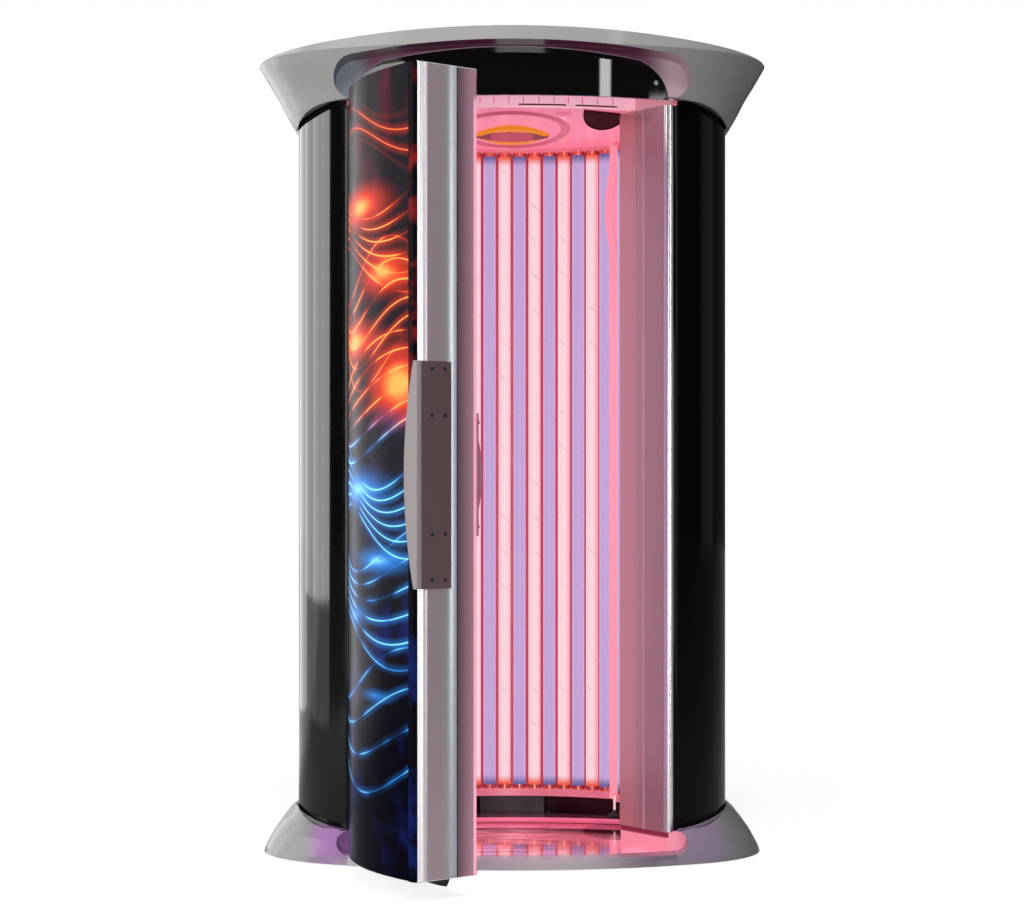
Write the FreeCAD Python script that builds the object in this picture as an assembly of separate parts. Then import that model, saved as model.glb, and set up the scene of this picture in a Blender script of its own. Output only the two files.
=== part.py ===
import FreeCAD, Part
import math
import os

from FreeCAD import Vector

# Vertical tanning booth, millimetres.
# Origin: floor level under the middle of the base. +Z up, +X to the right, -Y is the entrance side.
# Bearings are degrees from +Y (the back) towards +X: 90 is the right side, 180 the front.

os.makedirs("parts", exist_ok=True)

# ---- clearances -------------------------------------------------------------------------------
SEAT_GAP = 0.3          # between pieces that sit on or in each other
RUN_GAP = 0.08          # radial clearance of a pin or shaft that turns in its bore
SHELL_GAP = 0.4         # between nested shells
MERGE = 1.0             # how far cutters and joined lumps reach past a face

# ---- plan of the body -------------------------------------------------------------------------
FRONT_RADIUS = 970.0    # shallow arc of the front
FRONT_REACH = 600.0     # from the origin to the front arc
HALF_WIDTH = 603.0
CORNER_RADIUS = 260.0   # between the front arc and the sides
SHELL_WALL = 4.0

# ---- heights ----------------------------------------------------------------------------------
FOOT_HEIGHT = 6.0
CHASSIS_PLATE = 6.0
FLOOR_SHEET = 4.0
CHASSIS_WALL_TOP = 70.0
POST_BOTTOM = 80.0
CEILING_UNDER = 2076.0
CEILING_DEPTH = 36.0        # of the ceiling tray, up to the roof frame
ROOF_SHEET = 6.0
SHELL_RIM = 2.0             # how far the shells stand past the roof frame
POST_HEAD_GAP = 2.0         # between the posts' upper ends and the ceiling's underside
LEAF_HEAD_GAP = 4.0         # between the leaf and the hinge bracket above it

# ---- base skirt -------------------------------------------------------------------------------
SKIRT_WALL = 4.0
SKIRT_PROFILE = [(3.0, 97.0), (18.0, 92.0), (35.0, 83.0), (65.0, 66.0),
                 (96.0, 42.0), (118.0, 18.0), (134.0, 4.4)]      # height, reach past the body
SKIRT_FRONT_TOP = 88.0
SILL_TOP = 30.0
SILL_HALF = 446.0
FLOOR_FRONT_HALF = 470.0    # half width of the standing plate behind the skirt's rim
CUT_FOOT_HALF = 452.0       # half width of the skirt's cut-out at its upper edge
CUT_HALF = 478.0            # its widest half width
SWEEP_START_X = 500.0       # where the edges of base and crown begin to sweep to the sides
SWEEP_START_RISE = 5.0
SWEEP_MID_X = 563.0
SWEEP_MID_SHARE = 0.42      # share of the whole sweep reached there

# ---- crown, heights from its lower edge over the entrance -------------------------------------
CROWN_WALL = 4.0
CROWN_LIFT = 12.0           # of the lower edge over the ceiling's underside
CROWN_RISES = [(-52.0, 4.4), (-38.0, 17.0), (-21.0, 29.0), (22.0, 51.0),
               (62.0, 74.0), (102.0, 99.0), (125.0, 112.0), (170.0, 112.0)]     # height, reach
CROWN_RISE = 169.0          # of the arched rim at the middle
CROWN_ARCH_RADIUS = 5400.0  # the top rim is arched from side to side
RECESS_FOOT_HALF = 444.0    # half width of the sign recess at its lower edge
RECESS_HALF = 486.0         # its widest half width
RECESS_RISE = 133.0
RECESS_SHOULDER_HALF = 432.0
RECESS_SHOULDER_RISE = 109.0
RECESS_WAIST_RISE = 50.0
SIGN_SETBACK = 1.0          # behind the body's front arc
SIGN_SHEET = 5.0
SIGN_HALF = 430.0
SIGN_SHOULDER_HALF = 352.0
SIGN_SHOULDER_RISE = 103.0
SIGN_SIDE_HALF = 408.0
SIGN_SIDE_RISE = 60.0
SIGN_RISE = 131.0
LIGHT_SETBACK = 3.6         # between the sign and the light behind it
LIGHT_SHEET = 4.0
SIGN_SCREW_X = 393.0
SIGN_SCREW_RISE = 44.0
SIGN_SCREW_RADIUS = 6.5
SIGN_SCREW_SHANK = 3.0
SIGN_SCREW_HEAD = 3.0
COVER_SHEET = 4.0
COVER_RISE = 102.0
ROOF_INSET = 20.0

# ---- door leaf, closed ------------------------------------------------------------------------
LEAF_NOSE_X = 415.0         # outer corner of the closing edge
LEAF_HINGE_X = 416.0        # outer corner of the hinge edge, to the left
LEAF_DEPTH = 205.0          # along the slanted edges
LEAF_BOTTOM = 54.0
EDGE_SLANT_ANGLE = 32.0           # slant of the closing and hinge faces from the Y axis
PROFILE_WIDTH = 31.0
PROFILE_WALL = 3.0
PROFILE_NOSE_ROUND = 13.0
HINGE_ROUND = 12.0
PROFILE_EDGE_ROUND = 4.0
DOOR_GAP = 6.0
HINGE_GAP = 4.5
OPEN_ANGLE = 78.0           # how far the leaf stands open at rest
SKIN_SHEET = 5.0
RAIL_HEIGHT = 16.0
DOOR_LAMP_SETBACK = 185.0   # from the leaf's skin to its lamps' axes
DOOR_LAMP_PITCH = 46.583
DOOR_LAMP_COUNT = 12
GROOVE_AT = 136.0           # groove along the closing face, from the nose
GROOVE_WIDTH = 4.0
GROOVE_DEPTH = 2.0

# ---- posts ------------------------------------------------------------------------------------
POST_DEPTH = 225.0
POST_WIDTH = 33.0
BLOCK_INSET = 3.0
BLOCK_LIGHT_GAP = 8.4       # the top blocks stop this far behind the crown's light
SEAL_AT = 99.6
SEAL_WIDTH = 8.0
SEAL_PROUD = 2.5
SEAL_SUNK = 2.0

# ---- hinge ------------------------------------------------------------------------------------
PIN_RADIUS = 8.0
BUSH_WALL = 5.0
BRACKET_SHEET = 8.0
LOWER_BRACKET_HEIGHT = 18.0
BRACKET_RADIUS = 20.0
PIN_BLOCK_HEIGHT = 30.0
PIN_BLOCK_LENGTH = 40.0
THRUST_GAP = 0.3
COLLAR_RADIUS = 11.0

# ---- door furniture ---------------------------------------------------------------------------
PLATE_LOW = 774.0
PLATE_HIGH = 1335.0
PLATE_FROM = 15.0           # distances from the nose along the closing face
PLATE_TO = 115.0
PLATE_SHEET = 3.0
PLATE_SCREWS_S = (51.0, 94.0)
PLATE_SCREWS_Z = (795.0, 908.0, 1201.0, 1316.0)
PLATE_SCREW_RADIUS = 5.0
PLATE_SCREW_HEAD = 1.6
PLATE_SCREW_SHANK = 2.2
GRIP_REACH = 32.0           # of the outer grip at mid height
GRIP_END = 9.0              # and at its ends
GRIP_SLANT_ANGLE = 50.0           # how far the grip leans out from the leaf's skin
GRIP_BEND = 6.0
INNER_PLATE_LOW = 902.0
INNER_PLATE_HIGH = 1210.0
INNER_PLATE_WIDTH = 28.0
INNER_PLATE_SHEET = 9.0
INNER_BAR = 8.0
INNER_REACH = 32.0          # of the inner grip from the profile's end
INNER_SCREW_INSET = 23.0    # from the plate's ends
INNER_SCREW_SIDE = 6.0      # from the plate's near edge
GUIDE_FROM = 42.0
GUIDE_TIP = 104.0
GUIDE_TO = 116.0
GUIDE_DROP = 19.0
GUIDE_WIDTH = 27.0

# ---- lamps ------------------------------------------------------------------------------------
LAMP_RADIUS = 19.0
LAMP_CAP = 12.0
LAMP_GLASS = 1.0
LAMP_PIN_RADIUS = 1.3
LAMP_PIN_LENGTH = 7.0
LAMP_PIN_SPREAD = 6.0
HOLDER_BOTTOM = 74.0
HOLDER_HEIGHT = 22.0        # of the lower lamp holder strips
HOLDER_HEAD = 10.0          # of the upper ones, under the ceiling
HOLDER_HALF = 22.0          # half the radial depth of the lamp holder strips
REAR_CENTRE_Y = -50.0
REAR_LAMP_SETBACK = 103.0   # from the booth's back to the lamps' axes
REAR_LAMP_PITCH_ANGLE = 4.855
REAR_LAMP_COUNT = 14
SIDE_CENTRE_Y = -30.0
SIDE_LAMP_SETBACK = 123.0   # from the booth's sides to the lamps' axes
SIDE_LAMP_PITCH_ANGLE = 5.6
SIDE_LAMP_FIRST_BEARING = 45.0
SIDE_LAMP_COUNT = 11
REFLECTOR_SHEET = 1.5
REAR_HALF_ANGLE = 33.7
SIDE_FIRST_BEARING = 42.0
SIDE_LAST_BEARING = 104.0
HOLDER_SETBACK_ANGLE = 0.5        # degrees by which the holder strips stop short of the reflectors

# ---- cabin fittings ---------------------------------------------------------------------------
COLUMN_FIRST_BEARING = 34.0
COLUMN_LAST_BEARING = 40.0
COLUMN_PROUD = 14.0         # how far the columns stand inside the lamps' axes
COLUMN_DEPTH = 34.0
COLUMN_WALL = 6.0
COLUMN_EDGE_ANGLE = 0.6           # degrees of wall at the column's sides
COLUMN_GROOVE_ANGLES = (-2.2, -1.5, 1.5, 2.2)     # degrees from the column's middle
COLUMN_GROOVE_HALF_ANGLE = 0.14
COLUMN_GROOVE = 1.5
HANDLE_LENGTH = 340.0
HANDLE_HEAD_GAP = 31.0      # from the grab handle's upper end to the ceiling
HANDLE_REACH = 46.0
HANDLE_BAR = 15.0
HANDLE_WIDTH = 24.0
FLOOR_SETBACK = 103.0       # of the standing plate's rim from the booth's sides
SUPPORT_ROD_RADIUS = 4.0
SUPPORT_PAD_RADIUS = 13.0
SUPPORT_PAD_HEIGHT = 7.0
CEILING_SHEET = 4.0
CEILING_SETBACK = 27.0      # of the ceiling's rim from the booth's sides
CEILING_FRONT_SETBACK = 150.0
FAN_Y = 100.0
FAN_BORE = 96.0
FAN_RING_HALF = 113.0       # half width of the lens-shaped ring at the fan
FAN_RING_LENGTH = 190.0     # its half length, front to back
FAN_RING_SHIFT = 24.0       # of its middle behind the fan's
FAN_RING_EDGE = 8.0         # width of the ring's side tips
FAN_RING_OPEN = 98.0        # half length of its inner edge
FAN_RING_SLOPE = 7.0        # by which its lower outline is smaller
FAN_RING_HEIGHT = 9.0
FAN_HUB = 24.0
FAN_BLADES = 7
FAN_TIP = 88.0
FAN_SHAFT = 4.0
FAN_LIFT = 3.0
FAN_WHEEL_HEIGHT = 16.0
FAN_MOTOR_GAP = 2.0
FAN_BLADE_ANGLE = 28.0
GRILLE_BAR = 3.0
GRILLE_BARS = 7
NOZZLE_X = 144.0
NOZZLE_Y = -326.0
NOZZLE_RADIUS = 26.0
NOZZLE_DROP = 7.0
NOZZLE_TIP = 2.2
NOZZLE_LIP = 18.0
NOZZLE_TIP_DROP = 12.6
SPEAKER_X = 262.0           # middle of the speaker cover's straight front edge
SPEAKER_Y = -352.0
SPEAKER_HALF = 62.0
SPEAKER_LENGTH = 348.0
SPEAKER_SKEW = 36.0         # degrees by which the front edge is turned
SPEAKER_RING = 5.0
UPRIGHT_SIZE = 30.0
UPRIGHT_WALL = 2.5
UPRIGHT_BEARINGS = (43.0, 90.0, 128.5)
UPRIGHT_SETBACKS = (36.0, 48.0, -31.0)      # from the circle that touches the booth's sides
SUPPORT_BEARINGS = (58.0, 90.0)     # of the rods under the side lamps
REAR_SUPPORT_BEARING = 12.0
REAR_SEAM_Y = 211.0         # seam between the side shells and the rear shell

# ---- exhaust ----------------------------------------------------------------------------------
EXHAUST_Y = 330.0
EXHAUST_RADIUS = 125.0
EXHAUST_WALL = 2.5
EXHAUST_RISE = 95.0         # of the spigot over the crown's cover
EXHAUST_FLANGE = 18.0
EXHAUST_FLANGE_SHEET = 3.0
MOTOR_RADIUS = 42.0
MOTOR_HEIGHT = 46.0
STRUT_COUNT = 4
STRUT_WIDTH = 8.0
EXHAUST_TIP = 117.0
EXHAUST_HUB = 34.0
EXHAUST_BLADES = 7
EXHAUST_SHAFT = 5.0
EXHAUST_WHEEL_HEIGHT = 26.0
EXHAUST_BLADE_ANGLE = 32.0
BLADE_SHEET = 2.5
BLADE_CHORD_SHARE = 1.25    # of the wheel's height

# ---- electrics --------------------------------------------------------------------------------
BALLAST_SIZE = (55.0, 50.0, 240.0)
BALLAST_SETBACK = 79.0      # from the booth's sides
BALLAST_Y = 112.0
BALLASTS_PER_SIDE = 3
BOX_SIZE = (200.0, 43.0, 320.0)
BOX_BACK_GAP = 30.0         # between the electrical box and the booth's back
INLET_Z = 250.0
INLET_RADIUS = 13.0
INLET_BORE = 8.0
INLET_NUT_RADIUS = 20.0
INLET_NUT = 6.0
INLET_REACH = 22.0
PANEL_SIZE = (46.0, 10.0, 130.0)
PANEL_Z = 1260.0
PANEL_BEARING = -37.0
PANEL_BACK = 2.0
BUTTON_RADIUS = 8.0
BUTTON_DROP = 4.0
BUTTON_TRAVEL = 2.5
BUTTON_PITCH = 56.0

FOOT_RADIUS = 28.0
FOOT_STUD = 6.0
FOOT_SETBACK = 58.0         # from the booth's sides
FOOT_COUNT = 8

FRONT_CENTRE_Y = FRONT_RADIUS - FRONT_REACH
DOOR_LAMP_RADIUS = FRONT_RADIUS - DOOR_LAMP_SETBACK
DOOR_LAMP_PITCH_ANGLE = math.degrees(DOOR_LAMP_PITCH / DOOR_LAMP_RADIUS)
REAR_LAMP_RADIUS = HALF_WIDTH - REAR_CENTRE_Y - REAR_LAMP_SETBACK
SIDE_LAMP_RADIUS = HALF_WIDTH - SIDE_LAMP_SETBACK
COLUMN_FACE_RADIUS = REAR_LAMP_RADIUS - COLUMN_PROUD
COLUMN_BACK_RADIUS = COLUMN_FACE_RADIUS + COLUMN_DEPTH
FLOOR_RADIUS = HALF_WIDTH - FLOOR_SETBACK
CEILING_RADIUS = HALF_WIDTH - CEILING_SETBACK
UPRIGHT_DISTANCES = [HALF_WIDTH - setback for setback in UPRIGHT_SETBACKS]
BALLAST_CENTRE = (HALF_WIDTH - BALLAST_SETBACK, BALLAST_Y)
BOX_FRONT_Y = HALF_WIDTH - BOX_BACK_GAP - BOX_SIZE[1]
FOOT_RING = HALF_WIDTH - FOOT_SETBACK
ROOF_UNDER = CEILING_UNDER + CEILING_DEPTH
SHELL_TOP = ROOF_UNDER + ROOF_SHEET + SHELL_RIM
POST_TOP = CEILING_UNDER - POST_HEAD_GAP
LEAF_TOP = POST_TOP - LEAF_HEAD_GAP
CROWN_FRONT_EDGE = CEILING_UNDER + CROWN_LIFT
CROWN_PROFILE = [(CROWN_FRONT_EDGE + rise, reach) for rise, reach in CROWN_RISES]
CROWN_TOP = CROWN_FRONT_EDGE + CROWN_RISE
COVER_TOP = CROWN_FRONT_EDGE + COVER_RISE
EXHAUST_TOP = COVER_TOP + EXHAUST_RISE
SIGN_RADIUS = FRONT_RADIUS - SIGN_SETBACK
LIGHT_RADIUS = SIGN_RADIUS - SIGN_SHEET - LIGHT_SETBACK
BLOCK_BACK_RADIUS = LIGHT_RADIUS - LIGHT_SHEET - BLOCK_LIGHT_GAP
LAMP_BOTTOM = HOLDER_BOTTOM + HOLDER_HEIGHT
LAMP_TOP = CEILING_UNDER - HOLDER_HEAD
HANDLE_HIGH = CEILING_UNDER - HANDLE_HEAD_GAP
HANDLE_LOW = HANDLE_HIGH - HANDLE_LENGTH
CHASSIS_TOP = FOOT_HEIGHT + CHASSIS_PLATE
FLOOR_TOP = CHASSIS_TOP + FLOOR_SHEET
DOOR_LAMP_BOTTOM = LEAF_BOTTOM + RAIL_HEIGHT
DOOR_LAMP_TOP = LEAF_TOP - RAIL_HEIGHT
FITTING_RADIUS = math.sqrt((COLUMN_FACE_RADIUS - SEAT_GAP) ** 2 - (PANEL_SIZE[0] / 2) ** 2)
UP = Vector(0, 0, 1)
FRONT_CENTRE = Vector(0, FRONT_CENTRE_Y, 0)
REAR_CENTRE = Vector(0, REAR_CENTRE_Y, 0)
SIDE_CENTRE = Vector(0, SIDE_CENTRE_Y, 0)


# ---- drawing helpers --------------------------------------------------------------------------
def at_bearing(centre, radius, bearing, z=0.0):
    """Point at a bearing and distance from a centre."""
    turn = math.radians(bearing)
    return Vector(centre.x + radius * math.sin(turn), centre.y + radius * math.cos(turn), z)


def arc(start, middle, end):
    """Circular edge through three points."""
    return Part.Arc(start, middle, end).toShape()


def prism(wire, height):
    """Solid of a flat wire raised by a height."""
    return Part.Face(wire).extrude(UP * height)


def raise_section(section, low, high):
    """Solid of a plan wire drawn at height zero, from one height to another."""
    lifted = section.copy()
    lifted.translate(UP * low)
    return prism(lifted, high - low)


def outline(grow, z=0.0):
    """Plan outline of the body, moved outward by grow."""
    corner_x = HALF_WIDTH - CORNER_RADIUS
    drop = math.sqrt((FRONT_RADIUS - CORNER_RADIUS) ** 2 - corner_x ** 2)
    corner_y = FRONT_CENTRE_Y - drop
    turn = math.atan2(corner_x, drop)
    middle_turn = (turn + math.pi / 2) / 2
    front = FRONT_RADIUS + grow
    corner = CORNER_RADIUS + grow
    side = HALF_WIDTH + grow

    def on_front(angle):
        return Vector(front * math.sin(angle), FRONT_CENTRE_Y - front * math.cos(angle), z)

    def on_corner(angle, hand):
        return Vector(hand * (corner_x + corner * math.sin(angle)),
                      corner_y - corner * math.cos(angle), z)

    quarter = math.pi / 2
    edges = [
        arc(on_front(-turn), on_front(0), on_front(turn)),
        arc(on_front(turn), on_corner(middle_turn, 1), on_corner(quarter, 1)),
        Part.makeLine(on_corner(quarter, 1), Vector(side, 0, z)),
        arc(Vector(side, 0, z), Vector(0, side, z), Vector(-side, 0, z)),
        Part.makeLine(Vector(-side, 0, z), on_corner(quarter, -1)),
        arc(on_corner(quarter, -1), on_corner(middle_turn, -1), on_front(-turn)),
    ]
    return Part.Wire(edges)


def ring_solid(outer, inner, low, high):
    """Upright ring between two offsets of the outline."""
    whole = prism(outline(outer, low), high - low)
    return whole.cut(prism(outline(inner, low - MERGE), high - low + 2 * MERGE))


def flared(profile, shrink=0.0):
    """Solid whose outline follows a list of heights and reaches."""
    return Part.makeLoft([outline(reach - shrink, z) for z, reach in profile], True, True)


def rounded_section(points, radii):
    """Closed plan wire through points, each corner rounded by its radius."""
    count = len(points)
    starts, middles, ends = [], [], []
    for index, here in enumerate(points):
        to_before = (points[index - 1] - here).normalize()
        to_after = (points[(index + 1) % count] - here).normalize()
        half = to_before.getAngle(to_after) / 2
        radius = radii[index]
        bisector = (to_before + to_after).normalize()
        starts.append(here + to_before * (radius / math.tan(half)))
        ends.append(here + to_after * (radius / math.tan(half)))
        middles.append(here + bisector * (radius / math.sin(half) - radius))
    edges = []
    for index in range(count):
        if radii[index] > 0:
            edges.append(arc(starts[index], middles[index], ends[index]))
        edges.append(Part.makeLine(ends[index], starts[(index + 1) % count]))
    return Part.Wire(edges)


def rounding_centre(points, index, radius):
    """Centre of the rounding at one corner of a plan section."""
    here = points[index]
    to_before = (points[index - 1] - here).normalize()
    to_after = (points[(index + 1) % len(points)] - here).normalize()
    half = to_before.getAngle(to_after) / 2
    return here + (to_before + to_after).normalize() * (radius / math.sin(half))


def sector(centre, inner, outer, start, stop, low, high):
    """Part of an upright ring between two bearings."""
    middle = (start + stop) / 2
    edges = [
        arc(at_bearing(centre, outer, start, low), at_bearing(centre, outer, middle, low),
            at_bearing(centre, outer, stop, low)),
        Part.makeLine(at_bearing(centre, outer, stop, low), at_bearing(centre, inner, stop, low)),
        arc(at_bearing(centre, inner, stop, low), at_bearing(centre, inner, middle, low),
            at_bearing(centre, inner, start, low)),
        Part.makeLine(at_bearing(centre, inner, start, low), at_bearing(centre, outer, start, low)),
    ]
    return prism(Part.Wire(edges), high - low)


def cylinder(x, y, low, high, radius):
    """Upright cylinder."""
    return Part.makeCylinder(radius, high - low, Vector(x, y, low))


def tube(x, y, low, high, outer, inner):
    """Upright tube."""
    return cylinder(x, y, low, high, outer).cut(cylinder(x, y, low - MERGE, high + MERGE, inner))


def block(x0, x1, y0, y1, z0, z1):
    """Box between two corners."""
    return Part.makeBox(x1 - x0, y1 - y0, z1 - z0, Vector(x0, y0, z0))


def fuse(shapes):
    """Union of a list of solids, with split faces joined."""
    whole = shapes[0]
    if len(shapes) > 1:
        whole = whole.multiFuse(shapes[1:])
    return whole.removeSplitter()


def clear_of(shape, rooms):
    """A shape with room cut for other pieces."""
    for room in rooms:
        shape = shape.cut(room)
    return shape


def mirrored(shape):
    """Copy of a shape on the other side of the booth."""
    return shape.mirror(Vector(0, 0, 0), Vector(1, 0, 0))


def both_sides(shape):
    """A shape and its mirror image as one group."""
    return Part.makeCompound([shape, mirrored(shape)])


def facing_centre(shape, centre, radius, bearing):
    """Place a shape drawn about the origin, with -Y inward, at a bearing of a centre."""
    placed = shape.copy()
    placed.rotate(Vector(0, 0, 0), UP, -bearing)
    placed.translate(at_bearing(centre, radius, bearing))
    return placed


# ---- leaf and post sections -------------------------------------------------------------------
def on_front_arc(x):
    """Plan point of the body's front arc at a sideways distance."""
    return Vector(x, FRONT_CENTRE_Y - math.sqrt(FRONT_RADIUS ** 2 - x ** 2), 0)


def slant(hand):
    """Inward direction of the leaf's edge faces; hand is 1 on the right, -1 on the left."""
    turn = math.radians(EDGE_SLANT_ANGLE)
    return Vector(-hand * math.sin(turn), math.cos(turn), 0)


def outward(hand):
    """Direction square to an edge face, away from the leaf."""
    turn = math.radians(EDGE_SLANT_ANGLE)
    return Vector(hand * math.cos(turn), math.sin(turn), 0)


def leaf_corner(hand):
    """Outer corner of the closed leaf."""
    return on_front_arc(LEAF_NOSE_X if hand > 0 else -LEAF_HINGE_X)


def leaf_points(hand):
    """Corners of the leaf's edge profile: outer corner, inner corner and the two on the leaf's side."""
    corner = leaf_corner(hand)
    side = on_front_arc(corner.x - hand * PROFILE_WIDTH)
    return [corner, corner + slant(hand) * LEAF_DEPTH, side + slant(hand) * LEAF_DEPTH, side]


def leaf_section(hand):
    """Plan wire of the leaf's edge profile."""
    nose = PROFILE_NOSE_ROUND if hand > 0 else HINGE_ROUND
    rest = PROFILE_EDGE_ROUND
    return rounded_section(leaf_points(hand), [nose, rest, rest, SEAT_GAP])


def post_points(hand):
    """Corners of a post: outer corner by the leaf, inner corner, and the two by the body."""
    gap = DOOR_GAP if hand > 0 else HINGE_GAP
    corner = leaf_corner(hand) + outward(hand) * gap
    side = on_front_arc(corner.x + hand * POST_WIDTH)
    return [corner, corner + slant(hand) * POST_DEPTH, side + slant(hand) * POST_DEPTH, side]


def post_section(hand):
    """Plan wire of a post."""
    rest = PROFILE_EDGE_ROUND
    return rounded_section(post_points(hand), [PROFILE_NOSE_ROUND, rest, rest, rest])


PIVOT = rounding_centre(leaf_points(-1), 0, HINGE_ROUND)
SHELL_FRONT_X = post_points(1)[3].x + SEAT_GAP


def at_rest(shape):
    """Turn a shape of the closed leaf to where the leaf stands at rest."""
    turned = shape.copy()
    turned.rotate(PIVOT, UP, -OPEN_ANGLE)
    return turned


def along_face(hand, inward, out, corner):
    """Plan point near an edge face: a distance inward along it and a distance out from it."""
    return corner + slant(hand) * inward + outward(hand) * out


def face_strip(hand, corner, start, stop, back, front, low, high):
    """Upright strip on an edge face, between two distances from the nose and two depths."""
    points = [along_face(hand, start, back, corner), along_face(hand, stop, back, corner),
              along_face(hand, stop, front, corner), along_face(hand, start, front, corner)]
    return raise_section(Part.makePolygon(points + points[:1]), low, high)


# ---- base -------------------------------------------------------------------------------------
def edge_cutter(foot, waist, end, crest_z, side_z):
    """Solid seen from the front that cuts the swept edge and the entrance recess of base or crown."""
    def at(x, z):
        return Vector(x, -FRONT_REACH - FRONT_RADIUS, z)

    side = HALF_WIDTH + SHELL_GAP
    toward_side = math.copysign(1.0, side_z - foot[1])
    start_z = foot[1] + toward_side * SWEEP_START_RISE
    mid_z = foot[1] + (side_z - foot[1]) * SWEEP_MID_SHARE
    close_z = side_z + toward_side * CHASSIS_WALL_TOP
    crest = Part.makeLine(at(-end[0], end[1]), at(end[0], end[1]))
    if crest_z != end[1]:
        crest = arc(at(-end[0], end[1]), at(0, crest_z), at(end[0], end[1]))
    edges = [
        arc(at(-side, side_z), at(-SWEEP_MID_X, mid_z), at(-SWEEP_START_X, start_z)),
        Part.makeLine(at(-SWEEP_START_X, start_z), at(-foot[0], foot[1])),
        arc(at(-foot[0], foot[1]), at(-waist[0], waist[1]), at(-end[0], end[1])),
        crest,
        arc(at(end[0], end[1]), at(waist[0], waist[1]), at(foot[0], foot[1])),
        Part.makeLine(at(foot[0], foot[1]), at(SWEEP_START_X, start_z)),
        arc(at(SWEEP_START_X, start_z), at(SWEEP_MID_X, mid_z), at(side, side_z)),
        Part.makeLine(at(side, side_z), at(side, close_z)),
        Part.makeLine(at(side, close_z), at(-side, close_z)),
        Part.makeLine(at(-side, close_z), at(-side, side_z)),
    ]
    reach = FRONT_REACH + FRONT_RADIUS - CORNER_RADIUS / 2
    return Part.Face(Part.Wire(edges)).extrude(Vector(0, reach, 0))


def base_cutter(grow=0.0):
    """Cut of the skirt's upper edge and of the entrance; grow gives the rim for its return."""
    foot = (CUT_FOOT_HALF + grow, SKIRT_FRONT_TOP)
    waist = (CUT_HALF + grow, (SKIRT_FRONT_TOP + SILL_TOP) / 2)
    end = (CUT_FOOT_HALF, SILL_TOP - grow)
    return edge_cutter(foot, waist, end, end[1], SKIRT_PROFILE[-1][0])


def make_skirt():
    """Moulded base skirt and the sill that continues it across the entrance."""
    outer = flared(SKIRT_PROFILE)
    inner = flared([(SKIRT_PROFILE[0][0] - MERGE, SKIRT_PROFILE[0][1])] + SKIRT_PROFILE[1:-1]
                   + [(SKIRT_PROFILE[-1][0] + MERGE, SKIRT_PROFILE[-1][1])], SKIRT_WALL)
    cutter = base_cutter()
    shell = outer.cut(inner).cut(cutter)
    low = SKIRT_PROFILE[0][0]
    high = SKIRT_PROFILE[-1][0]
    body = prism(outline(SHELL_GAP, low - MERGE), high - low + 2 * MERGE)
    rim = base_cutter(SKIRT_WALL).cut(cutter).common(outer).cut(body)
    wide = CUT_HALF + SKIRT_WALL
    entrance = block(-wide, wide, -FRONT_RADIUS, -FRONT_REACH / 2, low, SKIRT_FRONT_TOP)
    whole = fuse([shell, rim.common(entrance)])
    sill_box = block(-SILL_HALF, SILL_HALF, -FRONT_RADIUS, 0, 0, SILL_TOP + MERGE)
    gap = SILL_HALF + SEAT_GAP
    gap_box = block(-gap, gap, -FRONT_RADIUS, 0, 0, SILL_TOP + MERGE)
    return whole.cut(gap_box), whole.common(sill_box)


def foot_places():
    """Plan points of the levelling feet: one in the middle and a ring of them."""
    step = 360.0 / FOOT_COUNT
    ring = [at_bearing(Vector(0, 0, 0), FOOT_RING, step * (index + 0.5)) for index in range(FOOT_COUNT)]
    return [Vector(0, 0, 0)] + ring


def make_feet():
    """Levelling feet: a pad with a short stud in the chassis plate."""
    feet = []
    for place in foot_places():
        pad = cylinder(place.x, place.y, 0, FOOT_HEIGHT, FOOT_RADIUS)
        stud = cylinder(place.x, place.y, FOOT_HEIGHT - MERGE, CHASSIS_TOP - SEAT_GAP, FOOT_STUD)
        feet.append(fuse([pad, stud]))
    return Part.makeCompound(feet)


def reach_at(profile, z):
    """Reach of a flared profile at a height."""
    for (low, first), (high, second) in zip(profile, profile[1:]):
        if low <= z <= high:
            return first + (second - first) * (z - low) / (high - low)
    return profile[-1][1]


def make_chassis():
    """Steel floor of the booth with an upstand around the cabin, open at the entrance."""
    edge = reach_at(SKIRT_PROFILE, CHASSIS_TOP) - SKIRT_WALL - SHELL_GAP
    plate = prism(outline(edge, FOOT_HEIGHT), CHASSIS_PLATE)
    for place in foot_places():
        hole = cylinder(place.x, place.y, 0, CHASSIS_TOP + MERGE, FOOT_STUD + SEAT_GAP)
        plate = plate.cut(hole)
    outer = -SHELL_WALL - SHELL_GAP
    wall = ring_solid(outer, outer - SHELL_WALL, CHASSIS_TOP - MERGE, CHASSIS_WALL_TOP)
    entrance = block(-SHELL_FRONT_X, SHELL_FRONT_X, -FRONT_RADIUS, -FRONT_REACH / 2,
                     CHASSIS_TOP - 2 * MERGE, CHASSIS_WALL_TOP + MERGE)
    return fuse([plate, wall.cut(entrance)])


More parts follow.
